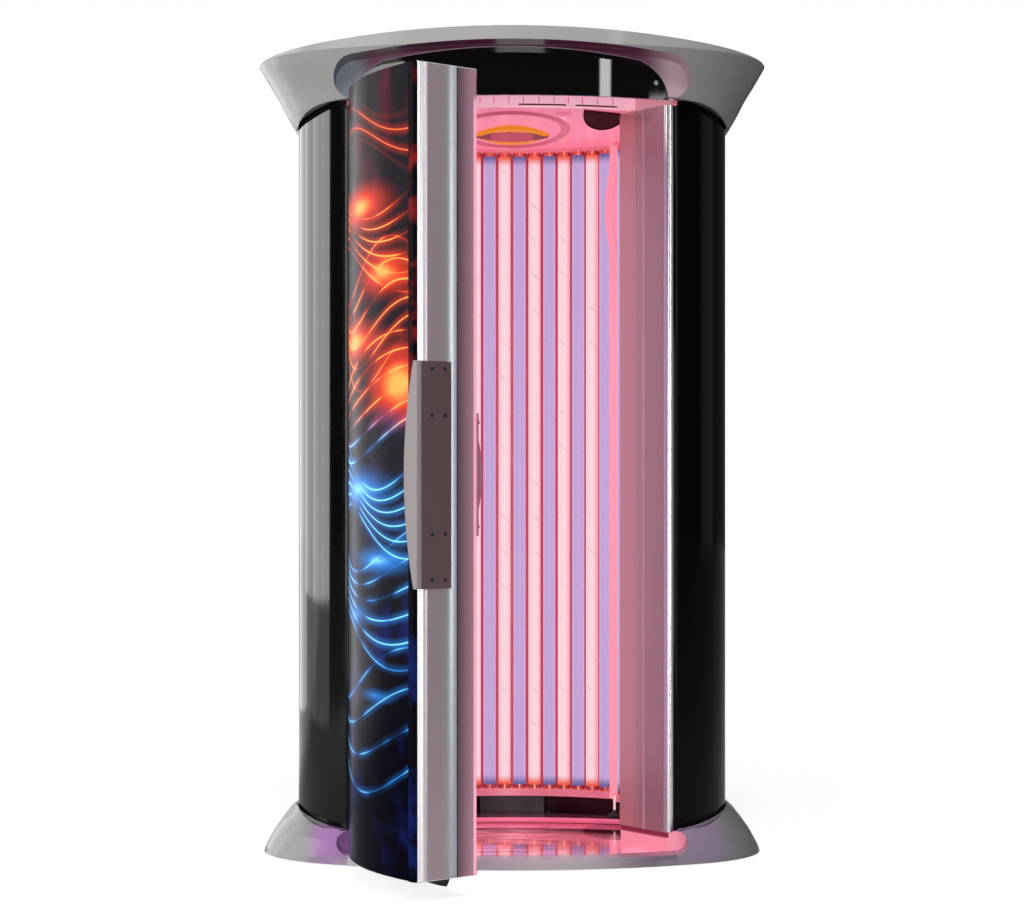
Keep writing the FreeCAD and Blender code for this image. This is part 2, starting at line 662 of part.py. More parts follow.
def make_floor(rooms):
    """Glossy standing plate from the rear lamps to the sill."""
    inner = -SHELL_WALL * 2 - SHELL_GAP - SEAT_GAP
    half = SILL_HALF
    disc = cylinder(0, SIDE_CENTRE_Y, CHASSIS_TOP, FLOOR_TOP, FLOOR_RADIUS)
    disc = disc.common(prism(outline(inner, CHASSIS_TOP), FLOOR_SHEET))
    rear = sector(REAR_CENTRE, FOOT_RADIUS, COLUMN_BACK_RADIUS, -COLUMN_LAST_BEARING, COLUMN_LAST_BEARING,
                  CHASSIS_TOP, FLOOR_TOP)
    front = block(-half, half, -FRONT_RADIUS, SIDE_CENTRE_Y, CHASSIS_TOP, FLOOR_TOP)
    front = front.common(prism(outline(-SEAT_GAP, CHASSIS_TOP), FLOOR_SHEET))
    wide = FLOOR_FRONT_HALF
    wings = block(-wide, wide, -FRONT_RADIUS, SIDE_CENTRE_Y, CHASSIS_TOP, FLOOR_TOP)
    wings = wings.common(prism(outline(inner, CHASSIS_TOP), FLOOR_SHEET))
    return clear_of(fuse([disc, rear, front, wings]), rooms)


def make_supports():
    """Threaded rods with pads that carry the columns and lamp holders above the floor."""
    rods = []
    middle = (COLUMN_FIRST_BEARING + COLUMN_LAST_BEARING) / 2
    places = [at_bearing(REAR_CENTRE, REAR_LAMP_RADIUS, bearing)
              for bearing in (-REAR_SUPPORT_BEARING, REAR_SUPPORT_BEARING)]
    places += [at_bearing(REAR_CENTRE, REAR_LAMP_RADIUS, sign * middle) for sign in (-1, 1)]
    places += [at_bearing(SIDE_CENTRE, SIDE_LAMP_RADIUS, sign * bearing)
               for bearing in SUPPORT_BEARINGS for sign in (-1, 1)]
    for place in places:
        pad = Part.makeCone(SUPPORT_PAD_RADIUS, SUPPORT_ROD_RADIUS * 2, SUPPORT_PAD_HEIGHT,
                            Vector(place.x, place.y, FLOOR_TOP))
        rod = cylinder(place.x, place.y, FLOOR_TOP + MERGE, HOLDER_BOTTOM, SUPPORT_ROD_RADIUS)
        rods.append(fuse([pad, rod]))
    return Part.makeCompound(rods)


# ---- body -------------------------------------------------------------------------------------
def make_shells():
    """Left, right and rear outer shells, standing on the chassis."""
    ring = ring_solid(0, -SHELL_WALL, CHASSIS_TOP, SHELL_TOP)
    wide = RECESS_HALF + CROWN_WALL * 2
    for half, low in ((SHELL_FRONT_X, 0), (wide, CROWN_FRONT_EDGE - SEAT_GAP)):
        ring = ring.cut(block(-half, half, -FRONT_RADIUS, -FRONT_REACH / 2, low, SHELL_TOP + MERGE))
    split = REAR_SEAM_Y
    joint = SEAT_GAP / 2
    wide = HALF_WIDTH + MERGE
    left = ring.common(block(-wide, 0, -FRONT_RADIUS, split - joint, 0, SHELL_TOP))
    right = ring.common(block(0, wide, -FRONT_RADIUS, split - joint, 0, SHELL_TOP))
    rear = ring.common(block(-wide, wide, split + joint, wide, 0, SHELL_TOP))
    hole = Part.makeCylinder(INLET_RADIUS + SEAT_GAP, SHELL_WALL * 4,
                             Vector(0, HALF_WIDTH - SHELL_WALL * 2, INLET_Z), Vector(0, 1, 0))
    return left, right, rear.cut(hole)


def hollow(section, wall):
    """Face of an extruded profile: a section with its inside taken out."""
    return Part.Face(section).cut(Part.Face(section.makeOffset2D(-wall)))


def make_post(hand):
    """Aluminium door post."""
    face = hollow(post_section(hand), PROFILE_WALL)
    face.translate(UP * POST_BOTTOM)
    post = face.extrude(UP * (POST_TOP - POST_BOTTOM))
    corner = post_points(hand)[0]
    groove = face_strip(hand, corner, GROOVE_AT, GROOVE_AT + GROOVE_WIDTH, -MERGE, GROOVE_DEPTH,
                        POST_BOTTOM - MERGE, POST_TOP + MERGE)
    post = post.cut(groove)
    if hand > 0:
        seat = face_strip(hand, corner, SEAL_AT - SEAT_GAP, SEAL_AT + SEAL_WIDTH + SEAT_GAP, -MERGE,
                          SEAL_SUNK + SEAT_GAP, POST_BOTTOM - MERGE, POST_TOP + MERGE)
        post = post.cut(seat)
    return post


def make_seal():
    """Rubber strip in the strike post's face."""
    corner = post_points(1)[0]
    return face_strip(1, corner, SEAL_AT, SEAL_AT + SEAL_WIDTH, -SEAL_PROUD, SEAL_SUNK, POST_BOTTOM, POST_TOP)


def block_section(hand, inset):
    """Plan wire of the blocks above and below a post."""
    return post_section(hand).makeOffset2D(-inset)


def make_post_blocks():
    """Blocks that carry the posts on the chassis and tie them to the roof frame."""
    keep = Part.makeCylinder(BLOCK_BACK_RADIUS, ROOF_UNDER + MERGE, FRONT_CENTRE)
    blocks = []
    for hand, top_start in ((1, POST_TOP), (-1, POST_TOP + BRACKET_SHEET)):
        section = block_section(hand, BLOCK_INSET)
        blocks.append(raise_section(section, CHASSIS_TOP, POST_BOTTOM))
        blocks.append(raise_section(section, top_start, ROOF_UNDER).common(keep))
    return Part.makeCompound(blocks)


def grown_blocks():
    """Room in the base and the floor plate for the blocks under the posts."""
    solids = []
    for hand in (1, -1):
        section = block_section(hand, BLOCK_INSET - SEAT_GAP)
        solids.append(raise_section(section, CHASSIS_TOP - MERGE, POST_BOTTOM))
    return solids


def upright(bearing, distance, grow, wall, low, high):
    """Square steel tube, or the room for one."""
    half = UPRIGHT_SIZE / 2 + grow
    solid = block(-half, half, -half, half, low, high)
    if wall > 0:
        inner = half - wall
        solid = solid.cut(block(-inner, inner, -inner, inner, low - MERGE, high + MERGE))
    return facing_centre(solid, Vector(0, 0, 0), distance, bearing)


def upright_rooms(low, high):
    """Room for the uprights between two heights."""
    rooms = []
    for bearing, distance in zip(UPRIGHT_BEARINGS, UPRIGHT_DISTANCES):
        for sign in (-1, 1):
            rooms.append(upright(sign * bearing, distance, SEAT_GAP, 0, low, high))
    return rooms


def make_uprights():
    """Steel tubes between chassis and roof frame."""
    tubes = []
    for bearing, distance in zip(UPRIGHT_BEARINGS, UPRIGHT_DISTANCES):
        for sign in (-1, 1):
            tubes.append(upright(sign * bearing, distance, 0, UPRIGHT_WALL, CHASSIS_TOP, ROOF_UNDER))
    return Part.makeCompound(tubes)


def make_roof():
    """Sheet steel roof frame that ties the uprights and posts together."""
    plate = prism(outline(-ROOF_INSET, ROOF_UNDER), ROOF_SHEET)
    high = ROOF_UNDER + ROOF_SHEET + MERGE
    return plate.cut(cylinder(0, EXHAUST_Y, ROOF_UNDER - MERGE, high, EXHAUST_RADIUS))


# ---- hinge ------------------------------------------------------------------------------------
def lower_bracket_top():
    """Height of the lower hinge bracket's upper face."""
    return LEAF_BOTTOM - DOOR_GAP


def make_brackets():
    """Upper and lower hinge brackets."""
    bush_hole = PIN_RADIUS + BUSH_WALL + SEAT_GAP
    corner = post_points(-1)[0]
    tail = corner + slant(-1) * (BRACKET_RADIUS * 2) + outward(-1) * (POST_WIDTH / 2)
    upper_low = POST_TOP
    upper_high = POST_TOP + BRACKET_SHEET
    upper = hull_plate(PIVOT, tail, BRACKET_RADIUS, upper_low, upper_high)
    lower_high = lower_bracket_top()
    lower_low = lower_high - LOWER_BRACKET_HEIGHT
    lower = hull_plate(PIVOT, tail, BRACKET_RADIUS, lower_low, lower_high)
    room = raise_section(block_section(-1, BLOCK_INSET), lower_low - MERGE, lower_high + MERGE)
    lower = lower.cut(room)
    pieces = sorted(lower.Solids, key=lambda solid: (solid.CenterOfMass - PIVOT).Length)
    both = []
    for plate, low, high in ((upper, upper_low, upper_high), (pieces[0], lower_low, lower_high)):
        both.append(plate.cut(cylinder(PIVOT.x, PIVOT.y, low - MERGE, high + MERGE, bush_hole)))
    return Part.makeCompound(both)


def hull_plate(first, second, radius, low, high):
    """Plate with round ends about two plan points."""
    along = (second - first).normalize()
    across = Vector(-along.y, along.x, 0) * radius
    edges = [
        Part.makeLine(first + across, second + across),
        arc(second + across, second + along * radius, second - across),
        Part.makeLine(second - across, first - across),
        arc(first - across, first - along * radius, first + across),
    ]
    return raise_section(Part.Wire(edges), low, high)


def make_bushes():
    """Plain bearings in the hinge brackets."""
    outer = PIN_RADIUS + BUSH_WALL
    inner = PIN_RADIUS + RUN_GAP
    high = lower_bracket_top()
    return Part.makeCompound([
        tube(PIVOT.x, PIVOT.y, POST_TOP, POST_TOP + BRACKET_SHEET, outer, inner),
        tube(PIVOT.x, PIVOT.y, high - LOWER_BRACKET_HEIGHT, high, outer, inner),
    ])


def make_pins():
    """Hinge pins with the blocks that hold them in the hinge profile."""
    room = leaf_section(-1).makeOffset2D(-PROFILE_WALL - SEAT_GAP)
    corner = leaf_corner(-1)
    keep = face_strip(-1, corner, 0, PIN_BLOCK_LENGTH, MERGE, -PROFILE_WIDTH * 2, 0, LEAF_TOP)
    lower_block = raise_section(room, LEAF_BOTTOM, LEAF_BOTTOM + PIN_BLOCK_HEIGHT).common(keep)
    upper_block = raise_section(room, LEAF_TOP - PIN_BLOCK_HEIGHT, LEAF_TOP).common(keep)
    high = lower_bracket_top()
    lower_pin = cylinder(PIVOT.x, PIVOT.y, high - LOWER_BRACKET_HEIGHT, LEAF_BOTTOM + MERGE, PIN_RADIUS)
    collar = cylinder(PIVOT.x, PIVOT.y, high + THRUST_GAP, LEAF_BOTTOM, COLLAR_RADIUS)
    upper_pin = cylinder(PIVOT.x, PIVOT.y, LEAF_TOP - MERGE, POST_TOP + BRACKET_SHEET, PIN_RADIUS)
    return Part.makeCompound([fuse([lower_block, lower_pin, collar]), fuse([upper_block, upper_pin])])


# ---- crown ------------------------------------------------------------------------------------
def crown_cutter(grow=0.0):
    """Cut of the crown's lower edge and of the recess around the sign."""
    diagonal = grow / math.sqrt(2)
    foot = (RECESS_FOOT_HALF + grow, CROWN_FRONT_EDGE)
    waist = (RECESS_HALF + grow, CROWN_FRONT_EDGE + RECESS_WAIST_RISE)
    shoulder = (RECESS_SHOULDER_HALF + diagonal, CROWN_FRONT_EDGE + RECESS_SHOULDER_RISE + diagonal)
    crest = CROWN_FRONT_EDGE + RECESS_RISE + grow
    return edge_cutter(foot, waist, shoulder, crest, CROWN_PROFILE[0][0])


def make_crown():
    """Flared crown with an arched rim, the recess for the sign and the recess's return."""
    outer = flared(CROWN_PROFILE)
    inner_profile = [(CROWN_PROFILE[0][0] - MERGE, CROWN_PROFILE[0][1])] + CROWN_PROFILE[1:-1]
    inner_profile += [(CROWN_PROFILE[-1][0] + MERGE, CROWN_PROFILE[-1][1])]
    inner = flared(inner_profile, CROWN_WALL)
    arch_length = (HALF_WIDTH + FRONT_REACH) * 2
    arch = Part.makeCylinder(CROWN_ARCH_RADIUS, arch_length,
                             Vector(0, -arch_length / 2, CROWN_TOP - CROWN_ARCH_RADIUS), Vector(0, 1, 0))
    cutter = crown_cutter()
    shell = outer.cut(inner).common(arch).cut(cutter)
    behind = Part.makeCylinder(LIGHT_RADIUS + SEAT_GAP, CROWN_TOP, FRONT_CENTRE)
    above = block(-HALF_WIDTH, HALF_WIDTH, -FRONT_RADIUS, 0, CROWN_FRONT_EDGE, CROWN_TOP)
    rim = crown_cutter(CROWN_WALL).cut(cutter).common(outer).common(above).cut(behind)
    wide = RECESS_HALF + CROWN_WALL
    rim = rim.common(block(-wide, wide, -FRONT_RADIUS, 0, CROWN_FRONT_EDGE, CROWN_TOP))
    return fuse([shell, rim])


def make_light():
    """Light diffuser that backs the recess behind the sign."""
    bearing = math.degrees(math.asin((RECESS_HALF + CROWN_WALL * 2) / LIGHT_RADIUS))
    plate = sector(FRONT_CENTRE, LIGHT_RADIUS - LIGHT_SHEET, LIGHT_RADIUS, 180 - bearing, 180 + bearing,
                   CROWN_FRONT_EDGE, CROWN_TOP)
    return plate.common(crown_cutter(CROWN_WALL))


def make_sign():
    """Curved sign panel with a shallow arched top."""
    def at(x, z):
        return Vector(x, -FRONT_REACH - FRONT_RADIUS, z)

    low = CROWN_FRONT_EDGE
    side = low + SIGN_SIDE_RISE
    shoulder = low + SIGN_SHOULDER_RISE
    crest = low + SIGN_RISE
    edges = [
        Part.makeLine(at(SIGN_HALF, low), at(-SIGN_HALF, low)),
        arc(at(-SIGN_HALF, low), at(-SIGN_SIDE_HALF, side), at(-SIGN_SHOULDER_HALF, shoulder)),
        arc(at(-SIGN_SHOULDER_HALF, shoulder), at(0, crest), at(SIGN_SHOULDER_HALF, shoulder)),
        arc(at(SIGN_SHOULDER_HALF, shoulder), at(SIGN_SIDE_HALF, side), at(SIGN_HALF, low)),
    ]
    shape = Part.Face(Part.Wire(edges)).extrude(Vector(0, FRONT_REACH + FRONT_RADIUS, 0))
    bearing = math.degrees(math.asin((SIGN_HALF + SKIRT_WALL) / SIGN_RADIUS))
    plate = sector(FRONT_CENTRE, SIGN_RADIUS - SIGN_SHEET, SIGN_RADIUS, 180 - bearing, 180 + bearing,
                   low - MERGE, CROWN_TOP).common(shape)
    for sign in (-1, 1):
        plate = plate.cut(sign_screw(sign, SIGN_SCREW_SHANK + SEAT_GAP, MERGE))
    return plate


def sign_screw(sign, radius, reach):
    """Shank of a sign screw, from the light's face to the sign's face and past them by reach."""
    turn = math.asin(SIGN_SCREW_X / SIGN_RADIUS)
    direction = Vector(sign * math.sin(turn), -math.cos(turn), 0)
    start = FRONT_CENTRE + direction * (LIGHT_RADIUS + SEAT_GAP - reach) + UP * (CROWN_FRONT_EDGE + SIGN_SCREW_RISE)
    length = SIGN_RADIUS - LIGHT_RADIUS - SEAT_GAP + 2 * reach
    return Part.makeCylinder(radius, length, start, direction)


def make_sign_screws():
    """Cap screws that hold the sign off the light."""
    screws = []
    for sign in (-1, 1):
        turn = math.asin(SIGN_SCREW_X / SIGN_RADIUS)
        direction = Vector(sign * math.sin(turn), -math.cos(turn), 0)
        seat = FRONT_CENTRE + direction * (SIGN_RADIUS + SEAT_GAP) + UP * (CROWN_FRONT_EDGE + SIGN_SCREW_RISE)
        head = Part.makeCylinder(SIGN_SCREW_RADIUS, SIGN_SCREW_HEAD, seat, direction)
        shank = sign_screw(sign, SIGN_SCREW_SHANK, 0)
        neck = Part.makeCylinder(SIGN_SCREW_SHANK, MERGE, seat - direction * (MERGE / 2), direction)
        screws.append(fuse([head, neck, shank]))
    return Part.makeCompound(screws)


def make_cover():
    """Top cover of the crown with the opening for the exhaust."""
    low = COVER_TOP - COVER_SHEET
    edge = reach_at(CROWN_PROFILE, low) - CROWN_WALL - SHELL_GAP
    cover = prism(outline(edge, low), COVER_SHEET)
    front = crown_cutter(CROWN_WALL + SHELL_GAP)
    behind = Part.makeCylinder(LIGHT_RADIUS - LIGHT_SHEET - SEAT_GAP, CROWN_TOP, FRONT_CENTRE)
    cover = cover.cut(front.cut(behind))
    return cover.cut(cylinder(0, EXHAUST_Y, low - MERGE, COVER_TOP + MERGE, EXHAUST_RADIUS + SEAT_GAP))


# ---- exhaust and cabin fans -------------------------------------------------------------------
def rotor(x, y, low, high, hub, tip, blades, shaft, pitch):
    """Fan wheel with pitched blades on a bored hub."""
    middle = (low + high) / 2
    thickness = BLADE_SHEET
    chord = (high - low) * BLADE_CHORD_SHARE
    pieces = [cylinder(x, y, low, high, hub)]
    for index in range(blades):
        start = hub - SKIRT_WALL
        blade = Part.makeBox(tip - start, chord, thickness, Vector(start, -chord / 2, -thickness / 2))
        blade.rotate(Vector(0, 0, 0), Vector(1, 0, 0), pitch)
        blade.rotate(Vector(0, 0, 0), UP, 360.0 * index / blades)
        blade.translate(Vector(x, y, middle))
        pieces.append(blade)
    wheel = fuse(pieces).common(cylinder(x, y, low, high, tip))
    return wheel.cut(cylinder(x, y, low - MERGE, high + MERGE, shaft + RUN_GAP))


def exhaust_heights():
    """Lower and upper face of the exhaust motor, then of its fan wheel."""
    motor_low = COVER_TOP
    motor_high = motor_low + MOTOR_HEIGHT
    wheel_low = motor_high + SKIRT_WALL
    return motor_low, motor_high, wheel_low, wheel_low + EXHAUST_WHEEL_HEIGHT


def make_exhaust_duct():
    """Round duct spigot with a flange on the crown's cover."""
    duct = tube(0, EXHAUST_Y, ROOF_UNDER + ROOF_SHEET, EXHAUST_TOP, EXHAUST_RADIUS,
                EXHAUST_RADIUS - EXHAUST_WALL)
    flange = tube(0, EXHAUST_Y, COVER_TOP, COVER_TOP + EXHAUST_FLANGE_SHEET,
                  EXHAUST_RADIUS + EXHAUST_FLANGE, EXHAUST_RADIUS - MERGE)
    return fuse([duct, flange])


def make_exhaust_motor():
    """Motor on struts across the duct, with its shaft."""
    low, high, wheel_low, wheel_high = exhaust_heights()
    reach = EXHAUST_RADIUS - EXHAUST_WALL - SEAT_GAP
    pieces = [cylinder(0, EXHAUST_Y, low, high, MOTOR_RADIUS),
              cylinder(0, EXHAUST_Y, high - MERGE, wheel_high, EXHAUST_SHAFT)]
    for index in range(STRUT_COUNT):
        strut = block(0, reach + STRUT_WIDTH, -STRUT_WIDTH / 2, STRUT_WIDTH / 2, low, low + STRUT_WIDTH)
        strut.rotate(Vector(0, 0, 0), UP, 360.0 * (index + 0.5) / STRUT_COUNT)
        strut.translate(Vector(0, EXHAUST_Y, 0))
        pieces.append(strut.common(cylinder(0, EXHAUST_Y, low, high, reach)))
    return fuse(pieces)


def make_exhaust_rotor():
    """Exhaust fan wheel."""
    low, high, wheel_low, wheel_high = exhaust_heights()
    return rotor(0, EXHAUST_Y, wheel_low, wheel_high, EXHAUST_HUB, EXHAUST_TIP, EXHAUST_BLADES,
                 EXHAUST_SHAFT, EXHAUST_BLADE_ANGLE)


def cabin_fan_heights():
    """Lower and upper face of the cabin fan's wheel, then the underside of its motor."""
    low = CEILING_UNDER + CEILING_SHEET + FAN_LIFT
    high = low + FAN_WHEEL_HEIGHT
    return low, high, high + FAN_MOTOR_GAP


def make_cabin_motor():
    """Cabin fan motor under the roof frame, with its shaft."""
    low, high, motor_low = cabin_fan_heights()
    motor = cylinder(0, FAN_Y, motor_low, ROOF_UNDER, FAN_HUB)
    shaft = cylinder(0, FAN_Y, low, motor_low + MERGE, FAN_SHAFT)
    return fuse([motor, shaft])


def make_cabin_rotor():
    """Cabin fan wheel."""
    low, high, motor_low = cabin_fan_heights()
    return rotor(0, FAN_Y, low, high, FAN_HUB, FAN_TIP, FAN_BLADES, FAN_SHAFT, FAN_BLADE_ANGLE)


# ---- ceiling ----------------------------------------------------------------------------------
def ceiling_body(shrink, low, high):
    """Plan of the ceiling, moved inward, between two heights."""
    round_part = cylinder(0, REAR_CENTRE_Y, low, high, CEILING_RADIUS - shrink)
    front = Part.makeCylinder(FRONT_RADIUS - CEILING_FRONT_SETBACK - shrink, high - low,
                              FRONT_CENTRE + UP * low)
    inside = prism(outline(-SHELL_WALL - SHELL_GAP - shrink, low), high - low)
    return round_part.common(front).common(inside)


def make_ceiling():
    """Moulded ceiling tray with its upstand, fan bore and speaker bores."""
    low = CEILING_UNDER
    tray = ceiling_body(0, low, ROOF_UNDER)
    tray = tray.cut(ceiling_body(CEILING_SHEET, low + CEILING_SHEET, ROOF_UNDER + MERGE))
    tray = clear_of(tray, upright_rooms(low - MERGE, ROOF_UNDER + MERGE))
    for hand in (1, -1):
        room = raise_section(block_section(hand, BLOCK_INSET - SEAT_GAP), POST_TOP, ROOF_UNDER + MERGE)
        tray = tray.cut(room)
    tray = tray.cut(cylinder(0, FAN_Y, low - MERGE, ROOF_UNDER, FAN_BORE))
    bore = speaker_plan(SPEAKER_RING * 2, low - MERGE, CEILING_SHEET + 2 * MERGE)
    tray = tray.cut(both_sides(bore))
    return max(tray.Solids, key=lambda solid: solid.Volume)


def lens(half, length, z):
    """Lens-shaped plan wire around the ceiling fan, with its tips to the sides."""
    middle = FAN_Y + FAN_RING_SHIFT
    tips = [Vector(-half, middle, z), Vector(half, middle, z)]
    edges = []
    for start, end, bulge in ((tips[0], tips[1], -2 * length), (tips[1], tips[0], 2 * length)):
        curve = Part.BezierCurve()
        curve.setPoles([start, Vector(0, middle + bulge, z), end])
        edges.append(curve.toShape())
    return Part.Wire(edges)


def make_fan_ring():
    """Lens-shaped light ring under the ceiling, with a recessed plate and grille bars over the fan."""
    top = CEILING_UNDER
    low = top - FAN_RING_HEIGHT
    small = FAN_RING_SLOPE
    ring = Part.makeLoft([lens(FAN_RING_HALF, FAN_RING_LENGTH, top),
                          lens(FAN_RING_HALF - small, FAN_RING_LENGTH - small, low)], True, True)
    recess = prism(lens(FAN_RING_HALF - FAN_RING_EDGE, FAN_RING_OPEN, low - MERGE),
                   FAN_RING_HEIGHT + MERGE - GRILLE_BAR)
    bore = cylinder(0, FAN_Y, low - MERGE, top + MERGE, FAN_TIP)
    pieces = [ring.cut(recess).cut(bore)]
    inside = cylinder(0, FAN_Y, top - GRILLE_BAR, top, FAN_TIP + MERGE)
    step = 2 * FAN_TIP / (GRILLE_BARS + 1)
    for index in range(GRILLE_BARS):
        x = (index + 1) * step - FAN_TIP
        bar = block(x - GRILLE_BAR / 2, x + GRILLE_BAR / 2, FAN_Y - FAN_BORE, FAN_Y + FAN_BORE,
                    top - GRILLE_BAR, top)
        pieces.append(bar.common(inside))
    return fuse(pieces)


def make_nozzle():
    """Mist nozzle in a shallow dish under the ceiling."""
    top = CEILING_UNDER
    place = Vector(NOZZLE_X, NOZZLE_Y, 0)
    dish = Part.makeCone(NOZZLE_LIP, NOZZLE_RADIUS, NOZZLE_DROP, place + UP * (top - NOZZLE_DROP))
    tip = Part.makeCone(NOZZLE_TIP, NOZZLE_TIP * 4, NOZZLE_DROP, place + UP * (top - NOZZLE_TIP_DROP))
    return fuse([dish, tip])


def speaker_plan(shrink, low, height):
    """Right speaker's half-oval plan, moved inward, as a solid."""
    half = SPEAKER_HALF - shrink
    length = SPEAKER_LENGTH - shrink
    oval = Part.Ellipse(Vector(SPEAKER_X, SPEAKER_Y + length, low), Vector(SPEAKER_X + half, SPEAKER_Y, low),
                        Vector(SPEAKER_X, SPEAKER_Y, low)).toShape()
    solid = prism(Part.Wire(oval), height)
    reach = SPEAKER_LENGTH * 2
    front = block(-reach, reach, shrink, reach, low - MERGE, low + height + MERGE)
    front.rotate(Vector(0, 0, 0), UP, SPEAKER_SKEW)
    front.translate(Vector(SPEAKER_X, SPEAKER_Y, 0))
    solid = solid.common(front)
    room = block_section(1, -SEAT_GAP * 2 - shrink)
    solid = solid.cut(raise_section(room, low - MERGE, low + height + MERGE))
    return max(solid.Solids, key=lambda piece: piece.Volume)


def make_speakers():
    """Covers of the two ceiling speakers: a half-oval frame around a thinner sheet."""
    top = CEILING_UNDER
    frame = speaker_plan(0, top - SPEAKER_RING, SPEAKER_RING)
    frame = frame.cut(speaker_plan(SPEAKER_RING, top - SPEAKER_RING - MERGE, SPEAKER_RING / 2 + MERGE))
    return both_sides(frame)


# ---- lamps ------------------------------------------------------------------------------------
def rear_lamp_places():
    """Plan points of the rear lamps from left to right."""
    first = -REAR_LAMP_PITCH_ANGLE * (REAR_LAMP_COUNT - 1) / 2
    return [at_bearing(REAR_CENTRE, REAR_LAMP_RADIUS, first + REAR_LAMP_PITCH_ANGLE * index)
            for index in range(REAR_LAMP_COUNT)]


def side_lamp_places():
    """Plan points of the lamps of both sides."""
    places = []
    for sign in (-1, 1):
        for index in range(SIDE_LAMP_COUNT):
            bearing = sign * (SIDE_LAMP_FIRST_BEARING + SIDE_LAMP_PITCH_ANGLE * index)
            places.append(at_bearing(SIDE_CENTRE, SIDE_LAMP_RADIUS, bearing))
    return places


def lamp_tubes(places, low, high):
    """Glass tubes of lamps that reach from one height to another, caps included."""
    inner = LAMP_RADIUS - LAMP_GLASS
    return Part.makeCompound([tube(place.x, place.y, low + LAMP_CAP, high - LAMP_CAP, LAMP_RADIUS, inner)
                              for place in places])


def lamp_pins(place, radius, low, high):
    """The two contact pins of a lamp's cap, or the sockets for them."""
    return [cylinder(place.x, place.y + sign * LAMP_PIN_SPREAD, low, high, radius) for sign in (-1, 1)]


def lamp_caps(places, low, high):
    """End caps with contact pins, of lamps that reach from one height to another."""
    caps = []
    for place in places:
        lower = cylinder(place.x, place.y, low, low + LAMP_CAP, LAMP_RADIUS)
        caps.append(fuse([lower] + lamp_pins(place, LAMP_PIN_RADIUS, low - LAMP_PIN_LENGTH, low + MERGE)))
        upper = cylinder(place.x, place.y, high - LAMP_CAP, high, LAMP_RADIUS)
        caps.append(fuse([upper] + lamp_pins(place, LAMP_PIN_RADIUS, high - MERGE, high + LAMP_PIN_LENGTH)))
    return Part.makeCompound(caps)


def socketed(solid, places, face, side):
    """A holder with sockets sunk into its face; side is 1 where the lamps stand above it, or -1."""
    radius = LAMP_PIN_RADIUS + SEAT_GAP
    ends = sorted((face + side * MERGE, face - side * (LAMP_PIN_LENGTH + SEAT_GAP)))
    sockets = []
    for place in places:
        sockets += lamp_pins(place, radius, ends[0], ends[1])
    return solid.cut(sockets)


def holder_strips(centre, radius, start, stop, places):
    """Lower and upper lamp holder strips of one bank, with sockets."""
    inner = radius - HOLDER_HALF
    outer = radius + HOLDER_HALF
    lower = sector(centre, inner, outer, start, stop, HOLDER_BOTTOM, LAMP_BOTTOM)
    upper = sector(centre, inner, outer, start, stop, LAMP_TOP, CEILING_UNDER)
    return [socketed(lower, places, LAMP_BOTTOM, 1), socketed(upper, places, LAMP_TOP, -1)]


def make_holders():
    """Lamp holder strips above and below each bank of lamps."""
    half = len(side_lamp_places()) // 2
    left, right = side_lamp_places()[:half], side_lamp_places()[half:]
    half_angle = REAR_HALF_ANGLE
    strips = holder_strips(REAR_CENTRE, REAR_LAMP_RADIUS, -half_angle, half_angle, rear_lamp_places())
    end = SIDE_LAST_BEARING - HOLDER_SETBACK_ANGLE
    strips += holder_strips(SIDE_CENTRE, SIDE_LAMP_RADIUS, SIDE_FIRST_BEARING, end, right)
    strips += holder_strips(SIDE_CENTRE, SIDE_LAMP_RADIUS, -end, -SIDE_FIRST_BEARING, left)
    return Part.makeCompound(strips)


def make_rear_reflector():
    """Curved reflector behind the rear lamps."""
    inner = REAR_LAMP_RADIUS + HOLDER_HALF + SEAT_GAP
    return sector(REAR_CENTRE, inner, inner + REFLECTOR_SHEET, -REAR_HALF_ANGLE, REAR_HALF_ANGLE,
                  HOLDER_BOTTOM, CEILING_UNDER)


def make_side_reflectors():
    """Curved reflectors behind the side lamps, each with a flat run to its door post."""
    inner = SIDE_LAMP_RADIUS + HOLDER_HALF + SEAT_GAP
    curved = sector(SIDE_CENTRE, inner, inner + REFLECTOR_SHEET, SIDE_FIRST_BEARING, SIDE_LAST_BEARING,
                    HOLDER_BOTTOM, CEILING_UNDER)
    start = at_bearing(SIDE_CENTRE, inner + REFLECTOR_SHEET / 2, SIDE_LAST_BEARING - HOLDER_SETBACK_ANGLE)
    end = post_points(1)[2] + outward(1) * (SEAT_GAP + REFLECTOR_SHEET) - slant(1) * PROFILE_EDGE_ROUND
    along = (end - start).normalize()
    across = Vector(-along.y, along.x, 0) * (REFLECTOR_SHEET / 2)
    run = Part.makePolygon([start + across, end + across, end - across, start - across, start + across])
    flat = raise_section(run, HOLDER_BOTTOM, CEILING_UNDER)
    return both_sides(fuse([curved, flat]))


